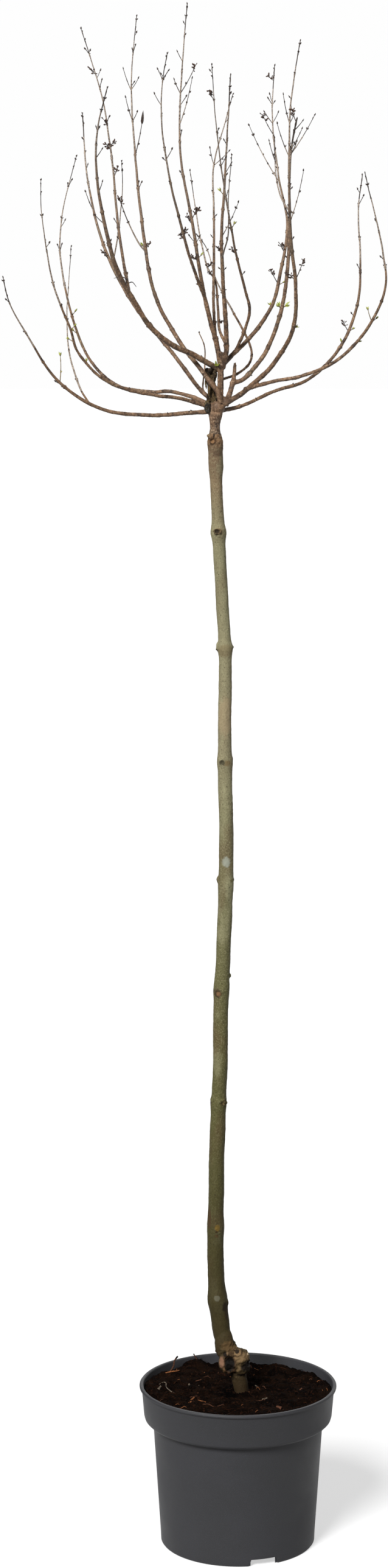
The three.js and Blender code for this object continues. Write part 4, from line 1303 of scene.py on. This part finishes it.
# the soil: a disc inset ring by ring, heaped and crumbled, on a plain plug
soilShape = {
    "facets": 280,
    "edge": 217,
    "rings": 80,
    # grain size and depth of the heaps, clods and crumbs
    "relief": [(30, 8), (9, 8), (2.4, 4.5)],
    "edgeMost": 227.5,
    "edgeWidth": 8,
    "clearance": 0.35,
    # middle, reach and height of the mounds: round the stem, at the back left, and up to the rim at the sides
    "mounds": [(10, 14, 26, 4), (-64, 112, 20, 10), (-112, 20, 44, 8), (118, -10, 40, 7), (0, -110, 60, 5),
               (58, 104, 16, 4), (100, 66, 14, 4), (-6, -15, 5, 4), (14, -16, 5, 4), (36, 118, 18, -4),
              (-26, 118, 16, -3)],
}


def makeSoil():
    p = potShape
    shoulder = p["height"] - p["collarHeight"]
    clear = p["wall"] + soilShape["clearance"]
    rise = (soilShape["edge"] - shoulder - p["collarRound"]) / (p["collarHeight"] - p["collarRound"])
    radius = lerp(p["collarFoot"], p["collarTop"], rise) - clear
    soil = disc(soilShape["facets"], radius, soilShape["edge"])
    edit(soil)
    for _ in range(soilShape["rings"]):
        bpy.ops.mesh.inset(thickness=radius * mm / (soilShape["rings"] + 1), use_even_offset=False)
    bpy.ops.mesh.poke()
    bpy.ops.object.mode_set(mode="OBJECT")
    settle(soil, "soil_top")
    for vertex in soil.data.vertices:
        for x, y, reach, high in soilShape["mounds"]:
            away = math.hypot(vertex.co.x / mm - x, vertex.co.y / mm - y) / reach
            vertex.co.z += high * mm * math.exp(-away * away)
    for grainSize, depth in soilShape["relief"]:
        finishWith(soil, "DISPLACE", texture=clouds(grainSize), texture_coords="LOCAL", direction="Z",
                   strength=depth * mm, mid_level=0.5)
    for vertex in soil.data.vertices:
        if math.hypot(vertex.co.x, vertex.co.y) > (radius - soilShape["edgeWidth"]) * mm:
            vertex.co.z = min(vertex.co.z, soilShape["edgeMost"] * mm)
    plug = [(p["collarFoot"] - clear, shoulder + p["collarRound"]), (p["neckRadius"] - clear, shoulder - 1),
            (p["baseRadius"] - clear, p["floor"] + 0.4)]
    edit(soil, "DESELECT", "EDGE")
    bpy.ops.mesh.select_non_manifold()
    wide, high = radius, soilShape["edge"]
    for nextWide, nextHigh in plug:
        bpy.ops.mesh.extrude_edges_move(TRANSFORM_OT_translate={"value": (0, 0, (nextHigh - high) * mm)})
        ratio = nextWide / wide
        bpy.ops.transform.resize(value=(ratio, ratio, 0), center_override=(0, 0, nextHigh * mm))
        wide, high = nextWide, nextHigh
    bpy.ops.mesh.edge_face_add()
    turnOutward()
    return smoothShade(soil)


# what lies on the soil: crumbs, brown fibres, straws and a few pale bits
litter = {
    "crumbs": 2300,
    "crumbSize": (1.0, 6),
    # fibres, then straws: how many, lengths, thicknesses, how much they wander, tones
    "kinds": [(420, (5, 22), (0.2, 0.55), 70, (0, 0, 1)), (44, (3, 14), (0.5, 1.1), 18, (4, 4, 1, 1, 2))],
    "reach": 130,
    # straws, chips and root ends at their places: the line over the soil, thickness, tone
    "placed": [
        ([(-104, 69), (-95, 72), (-88, 76)], 2.4, 2), ([(-88, 77), (-84, 82)], 1.8, 2),
        ([(-67, -31), (-62, -25)], 2.4, 2), ([(-70, -49), (-66, -48)], 1.8, 2),
        ([(-64, -48), (-62, -47)], 1.6, 2), ([(-57, -48), (-46, -47)], 1.4, 2),
        ([(-50, -57), (-42, -61), (-34, -67), (-21, -62)], 1.3, 4),
        ([(-112, 12), (-107, 17), (-103, 18), (-102, 5), (-98, -5), (-94, -12), (-90, -10)], 1.5, 3),
        ([(-113, -4), (-110, 3)], 4, 3), ([(-70, 24), (-69, 25)], 2.8, 3), ([(-56, 26), (-55, 26)], 2.2, 3),
        ([(25, 21), (29, 18)], 1.9, 3), ([(34, -30), (41, -35)], 2, 3), ([(53, -69), (60, -72)], 5, 4),
        ([(88, 0), (91, 2)], 2.6, 4), ([(114, 37), (117, 40)], 1.8, 2), ([(-60, 40), (-52, 44)], 1.5, 4),
        ([(10, -40), (26, -36), (38, -40)], 1.1, 4), ([(-30, -20), (-20, -30)], 1.2, 4),
    ],
    # woody bits that stick up: foot, then how far east, north and up the next points are, thickness
    "upright": [((-98, 84), [(6, 2, 9), (7, 3, 16), (12, 4, 23)], 2.1),
                ((-58, 116), [(-3, 0, 5), (-5, 0, 9)], 1.5)],
}


def soilUnder(soil, x, y):
    # how high the soil lies at a place and which way it faces, read from its own mesh
    hit, place, normal, _ = soil.ray_cast(Vector((x, y, 300)) * mm, Vector((0, 0, -1)))
    return (place.z / mm, normal) if hit else (soilShape["edge"], Vector((0, 0, 1)))


def scatterLitter(soil):
    draw = seededDraws(31)
    crumbs = []
    for _ in range(litter["crumbs"]):
        spot = anySpot(draw)
        height, normal = soilUnder(soil, spot.x, spot.y)
        size = lerp(*litter["crumbSize"], draw() ** 2)
        crumb = standing(Vector((spot.x, spot.y, height - size * 0.15)), normal, size, size * 0.7, draw() * 6)
        crumbs.append(crumb @ Matrix.Diagonal((0.6 + 0.8 * draw(), 1, 0.7 + 0.5 * draw(), 1)))
    fibres = []
    for count, lengths, thick, wander, tones in litter["kinds"]:
        for _ in range(count):
            spot = anySpot(draw)
            length = lerp(*lengths, draw() ** 1.5)
            radius = lerp(*thick, draw()) / 2
            points = fibrePoints(spot, draw() * 360, length, soil, draw, wander)
            tone = tones[int(draw() * len(tones))]
            fibres.append((points, [radius, *[radius] * (len(points) - 2), radius * 0.4], tone))
    for line, thick, tone in litter["placed"]:
        route = Route([Vector((x, y, soilUnder(soil, x, y)[0] + thick * 0.3)) for x, y in line])
        points = route.walk(0, 1, 2.5)
        fibres.append((points, [thick / 2 * (0.8 + 0.4 * draw()) for _ in points], tone))
    for (x, y), steps, thick in litter["upright"]:
        foot = Vector((x, y, soilUnder(soil, x, y)[0] - 1))
        route = Route([foot, *[foot + Vector(step) for step in steps]])
        points = route.walk(0, 0.86, 2)
        fibres.append((points, [thick / 2 * (0.9 + 0.3 * draw()) for _ in points], 4))
        tip = route.walk(0.84, 1, 1.2)
        fibres.append((tip, [thick * 0.62] * len(tip), 0))
    return crumbs, fibres


def anySpot(draw):
    out = litter["reach"] * draw() ** 0.5
    return heading(draw() * 360, 0) * out


def fibrePoints(spot, toward, length, soil, draw, wander):
    points = []
    steps = 5
    here = spot.copy()
    arch = draw() * 2.5
    for step in range(steps + 1):
        if math.hypot(here.x, here.y) > litter["reach"] + 2:
            here = here.normalized() * (litter["reach"] + 2)
        lift = 0.3 + arch * math.sin(math.pi * step / steps)
        points.append(Vector((here.x, here.y, soilUnder(soil, here.x, here.y)[0] + lift)))
        toward += (draw() - 0.5) * wander
        here = here + heading(toward, 0) * length / steps
    return points


# finishes
barkLooks = {
    # height in metres and colour: darker towards the soil, partly as painted shade, greener there, and brown
    # above the graft
    "stemTones": [(0.22, (56, 41, 24)), (0.27, (66, 55, 30)), (0.30, (68, 59, 31)), (0.43, (73, 68, 36)),
                  (0.60, (83, 80, 46)), (0.73, (87, 84, 51)), (0.90, (99, 96, 65)), (1.05, (122, 118, 88)),
                  (1.15, (129, 121, 94)), (1.42, (131, 127, 97)), (1.50, (126, 108, 82)),
                  (1.552, (106, 86, 66)), (1.561, (116, 88, 63)), (1.60, (118, 89, 64))],
    "stemPale": (150, 146, 114),
    "stemBrown": (86, 66, 45),
    "stemDark": (44, 36, 25),
    "stemDamp": (26, 20, 8),
    "stemScab": (120, 96, 66),
    "limb": (122, 93, 68),
    "limbDark": (52, 34, 21),
    "limbPale": (166, 138, 110),
    "limbGreen": (104, 92, 66),
    "limbGrey": (152, 136, 120),
    "speck": (36, 25, 17),
    "pore": (186, 164, 138),
    "twigGrey": ((92, 78, 67), (158, 142, 126)),
    "twigDark": ((28, 22, 18), (66, 54, 45)),
    "twigGreen": ((96, 82, 54), (128, 110, 76)),
}
# centre in mm, reach, strength and colour of the cuts, scars and stains, and of painted shade and a painted
# highlight on the knob and painted shade in the crotch
barkMarks = {
    "knob": [
        ((-12, -12, 288), (12, 12, 8), 0.45, (108, 82, 52)),
        ((-12, -14, 263), (12, 14, 17), 0.6, (70, 48, 31)),
        # (4, -12, 273): lighter tan over the top of the knob's right bump, partly bark colour and partly a
        # painted highlight
        ((4, -12, 273), (13, 14, 7), 0.5, (134, 108, 76)), ((0, -14, 260), (4.5, 12, 9), 0.6, (108, 88, 60)),
        # (11, -8, 260): painted shade on the lower right of the knob
        ((11, -8, 260), (8.6, 14, 10), 0.93, (14, 9, 6)), ((-23, -12, 265), (4, 10, 8), 0.85, (122, 90, 70)),
        ((-20, -16, 254), (2, 10, 6), 0.7, (118, 88, 60)),
        ((-14, -19, 248.5), (8, 8, 2.2), 0.85, (128, 78, 50)),
        # near black in the hollow of the old cut: painted shade
        ((-12, -14, 263), (8, 14, 13.5), 0.98, (9, 6, 4)),
        ((-18, -14, 277), (3.5, 12, 3.5), 0.9, (20, 14, 10)),
        ((-1.6, -14, 280.5), (8.4, 8, 7.4), 0.75, (52, 35, 22)),
        ((-1.6, -14, 280), (6.4, 8, 5.4), 0.8, (120, 97, 68)),
        ((-1.6, -14, 281), (3.8, 8, 2.7), 0.95, (24, 17, 12)),
        ((14, -9, 276.5), (1.8, 6, 1.8), 0.85, (170, 150, 120)),
        ((-15.5, -15, 279), (1.8, 8, 3), 0.6, (124, 100, 72)),
        # painted shadow under the knob's lip, and painted shade in the crease above the foot
        ((-18, -6, 240), (12, 14, 6), 0.97, (7, 5, 3)), ((4, -14, 246), (9, 9, 2.4), 0.85, (24, 17, 11)),
    ],
    "stem": [
        ((-37.6, -9, 1563.5), (5.2, 7, 6.4), 0.75, (62, 42, 27)),
        ((-37.2, -9, 1562.5), (2.6, 7, 3.4), 0.8, (130, 98, 66)),
        ((-35.4, -9, 1570.5), (1.5, 7, 3.6), 0.95, (22, 14, 10)),
        ((-42.5, -5, 1567), (2, 6, 2.4), 0.9, (30, 20, 14)),
        ((-28, -10, 1546), (9, 9, 5), 0.6, (74, 58, 44)), ((-22, -6, 1552.5), (2, 6, 2), 0.9, (30, 22, 16)),
        ((-31, -10, 1440), (9, 6, 5.4), 0.75, (96, 74, 50)),
        ((-31.5, -10, 1440), (4.4, 6, 3.4), 0.9, (34, 27, 20)),
        ((-19, -8, 1276), (13, 10, 9), 0.45, (112, 94, 64)),
        ((-7.4, 0, 1279), (2.2, 5, 2.6), 0.9, (30, 22, 15)),
        ((-31.4, 0, 1276), (1.8, 5, 2.4), 0.9, (48, 38, 26)),
        ((-19, -8, 1185), (12, 10, 28), 0.4, (156, 134, 104)),
        ((-17, -9, 1121), (5, 6, 5), 0.65, (104, 84, 52)),
        ((-23.6, -10, 1122), (4.4, 6, 3.8), 0.85, (54, 50, 36)),
        ((-17.8, -10, 983), (5.8, 8, 8.2), 0.9, (143, 146, 132)),
        ((-11, -8, 957), (2.6, 6, 2.6), 0.7, (88, 80, 44)),
        ((-30.4, -2, 955), (1.8, 4, 2.2), 0.85, (34, 27, 18)),
        ((-5.4, -2, 955), (1.8, 4, 2.4), 0.85, (34, 27, 18)),
        ((-28.6, -12, 798.6), (6.4, 6, 7), 0.88, (56, 42, 27)),
        ((-28, -12, 797.5), (3.6, 6, 4), 0.8, (120, 90, 62)),
        ((-36, -4, 800), (2.6, 6, 3.6), 0.88, (32, 23, 16)),
        ((-10.7, 0, 817.6), (2, 4, 2.4), 0.85, (36, 28, 20)),
        ((-21, -12, 641.3), (5.8, 6, 4.8), 0.8, (52, 42, 24)),
        ((-20.5, -12, 641.3), (2.4, 6, 2), 0.8, (122, 106, 72)),
        ((-14.8, -6, 639), (1.8, 5, 2.4), 0.9, (26, 19, 13)),
        ((-39, -4, 640), (1.8, 5, 2.6), 0.85, (44, 34, 22)),
        ((-41, -6, 474), (2.8, 8, 16), 0.75, (76, 54, 34)),
        ((-29.6, -12, 460.5), (3.8, 6, 5), 0.85, (124, 98, 42)),
        ((-31, -12, 455), (1.8, 6, 2), 0.9, (60, 44, 22)),
        ((-30.5, -12, 449), (2.6, 6, 2.6), 0.75, (84, 62, 34)),
        ((-17, -8, 344), (6, 8, 8), 0.9, (32, 22, 13)), ((-15, -7, 333), (4.5, 8, 10), 0.8, (44, 30, 18)),
        ((-30, -12, 358), (4.4, 6, 4.6), 0.6, (132, 130, 110)),
    ],
    "bough": [
        # painted shade in the crotch: between the limbs, by the middle stems and round the dead stub's foot
        ((-17, -8, 1620), (10, 10, 7), 0.6, (40, 26, 17)),
        ((-22, -4, 1681), (4.5, 9, 17), 0.6, (44, 30, 20)),
        ((-21, -4, 1640), (3.2, 9, 16), 0.5, (44, 30, 20)), ((-36, -8, 1612), (9, 9, 6), 0.4, (60, 42, 29)),
    ],
}


def stemFinish():
    # olive grey bark with brown and pale clouds, dark bud scars and pale breathing pores
    bark = Finish("stem_bark", 0.75, 0.12)
    height = bark.along("Z")
    cloud = bark.grain(42, (1, 1, 0.4), 5)
    patch = bark.grain(16, (1, 1, 0.5), 3)
    mottle = bark.grain(560, (1, 1, 0.8), 4, 0.65)
    fine = bark.grain(1500, detail=2)
    ragged = bark.grain(240, detail=3)
    scab = bark.grain(280, detail=4)
    tones = barkLooks["stemTones"]
    low, high = tones[0][0], tones[-1][0]
    stops = [((z - low) / (high - low), fromSrgb(*colour)) for z, colour in tones]
    share = bark.fade(height + (cloud - 0.5) * 0.05, low, high, "LINEAR")
    bark.base = bark.node("ShaderNodeValToRGB", {"stops": stops}, {"Fac": share})
    paler = bark.fade(height, 0.25, 1.0) * 0.9 + 0.1
    bark.coat(bark.fade(cloud, 0.5, 0.68) * paler * 0.5, "stemPale")
    bark.coat(bark.fade(patch, 0.5, 0.66) * 0.5, "stemBrown")
    bark.coat(bark.fade(mottle, 0.5, 0.7) * 0.4, "stemDark")
    bark.coat(bark.fade(mottle, 0.5, 0.32) * paler * 0.45, "stemPale")
    bark.coat(bark.fade(fine, 0.6, 0.74) * 0.4, "stemDark")
    bark.coat(bark.spots(170, 0.14) * 0.8, "stemDark")
    bark.coat(bark.spots(210, 0.11) * paler * 0.5, "pore")
    bark.stain(barkMarks["stem"], ragged)
    # painted shade: the bark is washed darker and darker towards the soil
    bark.coat(bark.fade(height, 0.78, 0.24) * 0.52, "stemDamp")
    knob = bark.near((-4, -8, 265), (25, 28, 24), ragged)
    bark.coat(bark.fade(scab, 0.5, 0.62) * knob * 0.6, "stemDark")
    bark.coat(bark.fade(scab, 0.46, 0.34) * knob * 0.5, "stemScab")
    # the knob's scars and stains, with painted shade in its hollow, under its lip and in the crease, and a
    # painted highlight on its right bump
    bark.stain(barkMarks["knob"], ragged)
    return bark.done(mottle + fine * 0.5, 0.5, bark.fade(cloud, 0.2, 0.8) * 0.2 + 0.6)


def boughFinish(name="bough_bark"):
    # brown bark under a thin paler skin, greyer upwards, with dark specks and pale breathing pores
    bark = Finish(name, 0.68, 0.35)
    skin = bark.grain(75, detail=4)
    scale = bark.grain(230, detail=5, roughness=0.7)
    moss = bark.grain(20, detail=3)
    fine = bark.grain(620, detail=3)
    ragged = bark.grain(240, detail=3)
    flake = bark.grain(520, (1, 1, 0.7), 3)
    pores = bark.spots(300, 0.14)
    bark.base = bark.blend(bark.fade(skin, 0.3, 0.6), "limbDark", "limb")
    bark.coat(bark.fade(scale, 0.52, 0.66) * 0.75, "limbPale")
    bark.coat(bark.fade(moss, 0.54, 0.68) * 0.35, "limbGreen")
    bark.coat(bark.fade(bark.along("Z"), 1.72, 2.02) * 0.5, "limbGrey")
    bark.coat(bark.fade(scale, 0.47, 0.34) * 0.7, "speck")
    bark.coat(bark.fade(fine, 0.48, 0.68) * 0.55, "speck")
    bark.coat(bark.spots(330, 0.22) * bark.fade(skin, 0.42, 0.56) * 0.7, "speck")
    neck = bark.near((-31, 0, 1584), (15, 15, 24), ragged)
    bark.coat(bark.fade(flake, 0.53, 0.64) * neck * 0.4, "pore")
    bark.coat(bark.fade(flake, 0.48, 0.38) * neck * 0.6, "speck")
    # painted shade in the crotch of the boughs
    bark.stain(barkMarks["bough"], ragged)
    bark.coat(pores * 0.6, "pore")
    relief = scale + fine * 0.5 + pores * 0.3
    return bark.done(relief, 0.6, bark.fade(skin, 0.3, 0.7) * 0.2 + 0.52)


def deadFinish():
    # weathered brown wood, near black in its cracks and at its torn top; the callus below is dark grey
    wood = Finish("dead_wood", 0.88, 0.2)
    height = wood.along("Z")
    crack = wood.grain(420, (1, 1, 0.25), 5)
    cloud = wood.grain(120, (1, 1, 0.6), 3)
    wood.base = wood.blend(wood.fade(cloud, 0.38, 0.62), (38, 28, 18), (92, 74, 46))
    wood.coat(wood.fade(height + (cloud - 0.5) * 0.03, 1.643, 1.656) * 0.8, (40, 30, 22))
    grey = wood.blend(wood.fade(cloud, 0.45, 0.62), (46, 43, 39), (104, 99, 90))
    wood.coat(wood.fade(height, 1.617, 1.611), grey)
    wood.coat(wood.fade(crack, 0.42, 0.66) * 0.85, (20, 14, 9))
    wood.coat(wood.fade(wood.grain(380, detail=3), 0.56, 0.68) * 0.6, (124, 108, 72))
    return wood.done(crack, 0.9)


def twigFinish(name, tones):
    twig = Finish(name, 0.6, 0.4)
    fine = twig.grain(480, detail=3)
    twig.base = twig.blend(twig.fade(fine, 0.4, 0.6), *tones)
    twig.coat(twig.spots(420, 0.2) * 0.4, "pore")
    return twig.done(fine, 0.15)


def plainFinish(name, colour, shade, roughness=0.6, scale=700, gloss=0.35):
    # a base colour with a faint grain
    thing = Finish(name, roughness, gloss)
    fine = thing.grain(scale, detail=2)
    thing.base = thing.blend(thing.fade(fine, 0.35, 0.7), colour, shade)
    return thing.done(fine, 0.12)


def potFinish():
    # moulded grey plastic with a fine tooth, dulled here and there by handling
    shell = Finish("pot_plastic", 0.6, 0.28)
    tooth = shell.grain(1500, detail=2)
    rub = shell.grain(9, (1, 1, 1.4), 4)
    scuff = shell.grain(110, (1, 1, 0.35), 5)
    shell.base = shell.blend(shell.fade(rub, 0.35, 0.7), (39, 39, 41), (44, 44, 47))
    shell.coat(shell.fade(tooth, 0.45, 0.75) * 0.5, (62, 63, 66))
    shell.coat(shell.fade(scuff, 0.66, 0.8) * 0.22, (70, 69, 69))
    worn = shell.fade(rub, 0.3, 0.7) * 0.12 + shell.fade(tooth, 0.4, 0.7) * 0.08 + 0.52
    return shell.done(tooth, 0.12, worn)


def soilFinish():
    # near black peat with red-brown fibrous patches, drier and browner at the left
    earth = Finish("soil", 0.98, 0.03)
    clod = earth.grain(45, detail=5)
    fine = earth.grain(700, detail=5, roughness=0.7)
    dry = earth.fade(earth.along("X"), 0.06, -0.12)
    earth.base = earth.blend(earth.fade(clod, 0.42, 0.62), (6, 3, 2), (20, 11, 6))
    earth.coat(earth.fade(fine, 0.54, 0.7) * dry * 0.65, (64, 35, 20))
    earth.coat(earth.fade(fine, 0.62, 0.76) * 0.5, (48, 28, 17))
    # painted shadow: near black soil left of the stem's foot, under the knob's lip
    earth.coat(earth.near((-16, -6, 222), (16, 30, 14), clod), (2, 1, 1))
    return earth.done(fine + clod, 1.2)


# making everything
everyBough = [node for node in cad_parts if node.startswith("bough_")]
everyTwig = [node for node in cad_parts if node.startswith("twigs_")]

dress(makePot(), [potFinish()], ["pot"])
soil = makeSoil()
crumbs, fibres = scatterLitter(soil)
dress(soil, [soilFinish()], ["soil"])
dress(copiesOf(makeCrumb(), crumbs, "soil_crumbs", False),
      [plainFinish("crumb", (6, 4, 3), (34, 19, 11), 0.98, 160, 0.03)])
dress(tubesFrom("soil_fibres", fibres, 4),
      [plainFinish("fibre_dark", (10, 6, 4), (26, 15, 9), 0.98, 700, 0.05),
       plainFinish("fibre_brown", (34, 18, 10), (56, 31, 18), 0.95, 700, 0.05),
       plainFinish("straw", (92, 51, 23), (140, 86, 43), 0.85),
       plainFinish("straw_pale", (62, 53, 43), (118, 106, 90), 0.9),
       plainFinish("root_brown", (50, 27, 14), (88, 51, 28), 0.9)])
dress(makeStem(), [stemFinish()], ["trunk"])
dress(makeBoughs(), [boughFinish()], [*everyBough, "stub_snag"])
dress(makeDeadWood(), [deadFinish()], ["stub_dead"])
dress(tubesFrom("twig_wood", crown["wood"], twigLooks["sides"]),
      [boughFinish("twig_bark"), twigFinish("twig_dark", barkLooks["twigDark"]),
       twigFinish("twig_green", barkLooks["twigGreen"]), twigFinish("twig_grey", barkLooks["twigGrey"])],
      everyTwig)
dress(copiesOf(shapedBall(8, 6, budShape), crown["buds"], "buds"),
      [plainFinish("bud_scale", (30, 21, 17), (66, 47, 35), 0.5)])
dress(copiesOf(shapedBall(8, 6, budShape), crown["greenBuds"], "green_buds"),
      [plainFinish("bud_green", (138, 138, 58), (188, 180, 100), 0.5)])
dress(copiesOf(shapedBall(6, 5, huskShape), crown["husks"], "seed_heads"),
      [plainFinish("husk", (38, 25, 20), (96, 68, 52), 0.65)])
dress(copiesOf(makeLeaf(), crown["leaves"], "young_leaves"),
      [plainFinish("leaf_green", (128, 142, 54), (182, 186, 96), 0.5)])


# the floor, the light and the camera
studio = {
    "floorHalf": 60,
    "floorColour": (176, 176, 176),
    "floorGlow": 0.55,  # how much the floor paper is lit from below, which keeps the shadows pale
    "skyColour": (255, 255, 255),
    "skyStrength": 0.14,
    "backColour": (254, 254, 254),
    # from where it shines, how soft it is in degrees, its strength
    "lamps": [((-0.5, -1.0, 0.9), 20, 5.1), ((0.9, -0.4, 0.5), 60, 0.35), ((0.25, 1.0, 0.2), 60, 1.7)],
}
view = {
    "place": (-0.0625, -4.5, 1.755),
    "lookDown": 8.4,
    "focalPixels": 5406,
    "framePixels": 2576,
    "sensor": 36,
}


def setStudio():
    bpy.ops.mesh.primitive_plane_add(size=2 * studio["floorHalf"], location=(0, 0, 0))
    floor = settle(bpy.context.object, "floor")
    paper = Finish("floor_paper", 0.9, 0.1)
    paper.shader.inputs["Base Color"].default_value = asColour(studio["floorColour"])
    paper.shader.inputs["Emission Color"].default_value = asColour(studio["skyColour"])
    paper.shader.inputs["Emission Strength"].default_value = studio["floorGlow"]
    floor.data.materials.append(paper.material)
    floor.visible_diffuse = False  # so that it doesn't light the plant from below
    world = bpy.data.worlds.new("studio")
    world.use_nodes = True
    nodes, links = world.node_tree.nodes, world.node_tree.links
    sky = nodes["Background"]
    sky.inputs["Color"].default_value = asColour(studio["skyColour"])
    sky.inputs["Strength"].default_value = studio["skyStrength"]
    # the dome lights the plant softly, and what is seen behind it is as pale as the floor
    back = nodes.new("ShaderNodeBackground")
    back.inputs["Color"].default_value = asColour(studio["backColour"])
    path = nodes.new("ShaderNodeLightPath")
    choice = nodes.new("ShaderNodeMixShader")
    for index, output in enumerate((path.outputs["Is Camera Ray"], sky.outputs[0], back.outputs[0])):
        links.new(output, choice.inputs[index])
    links.new(choice.outputs[0], nodes["World Output"].inputs["Surface"])
    scene.world = world
    for place, softness, power in studio["lamps"]:
        bpy.ops.object.light_add(type="SUN", location=place)
        lamp = bpy.context.object
        lamp.data.angle = math.radians(softness)
        lamp.data.energy = power
        lamp.rotation_euler = (-Vector(place)).to_track_quat("-Z", "Y").to_euler()
    scene.view_settings.view_transform = "Standard"


def setCamera():
    turn = (math.radians(90 - view["lookDown"]), 0, 0)
    bpy.ops.object.camera_add(location=view["place"], rotation=turn)
    camera = bpy.context.object
    camera.data.sensor_width = view["sensor"]
    camera.data.lens = view["sensor"] * view["focalPixels"] / view["framePixels"]
    camera.data.clip_end = 200
    scene.camera = camera


setStudio()
setCamera()
print("studio and camera set")
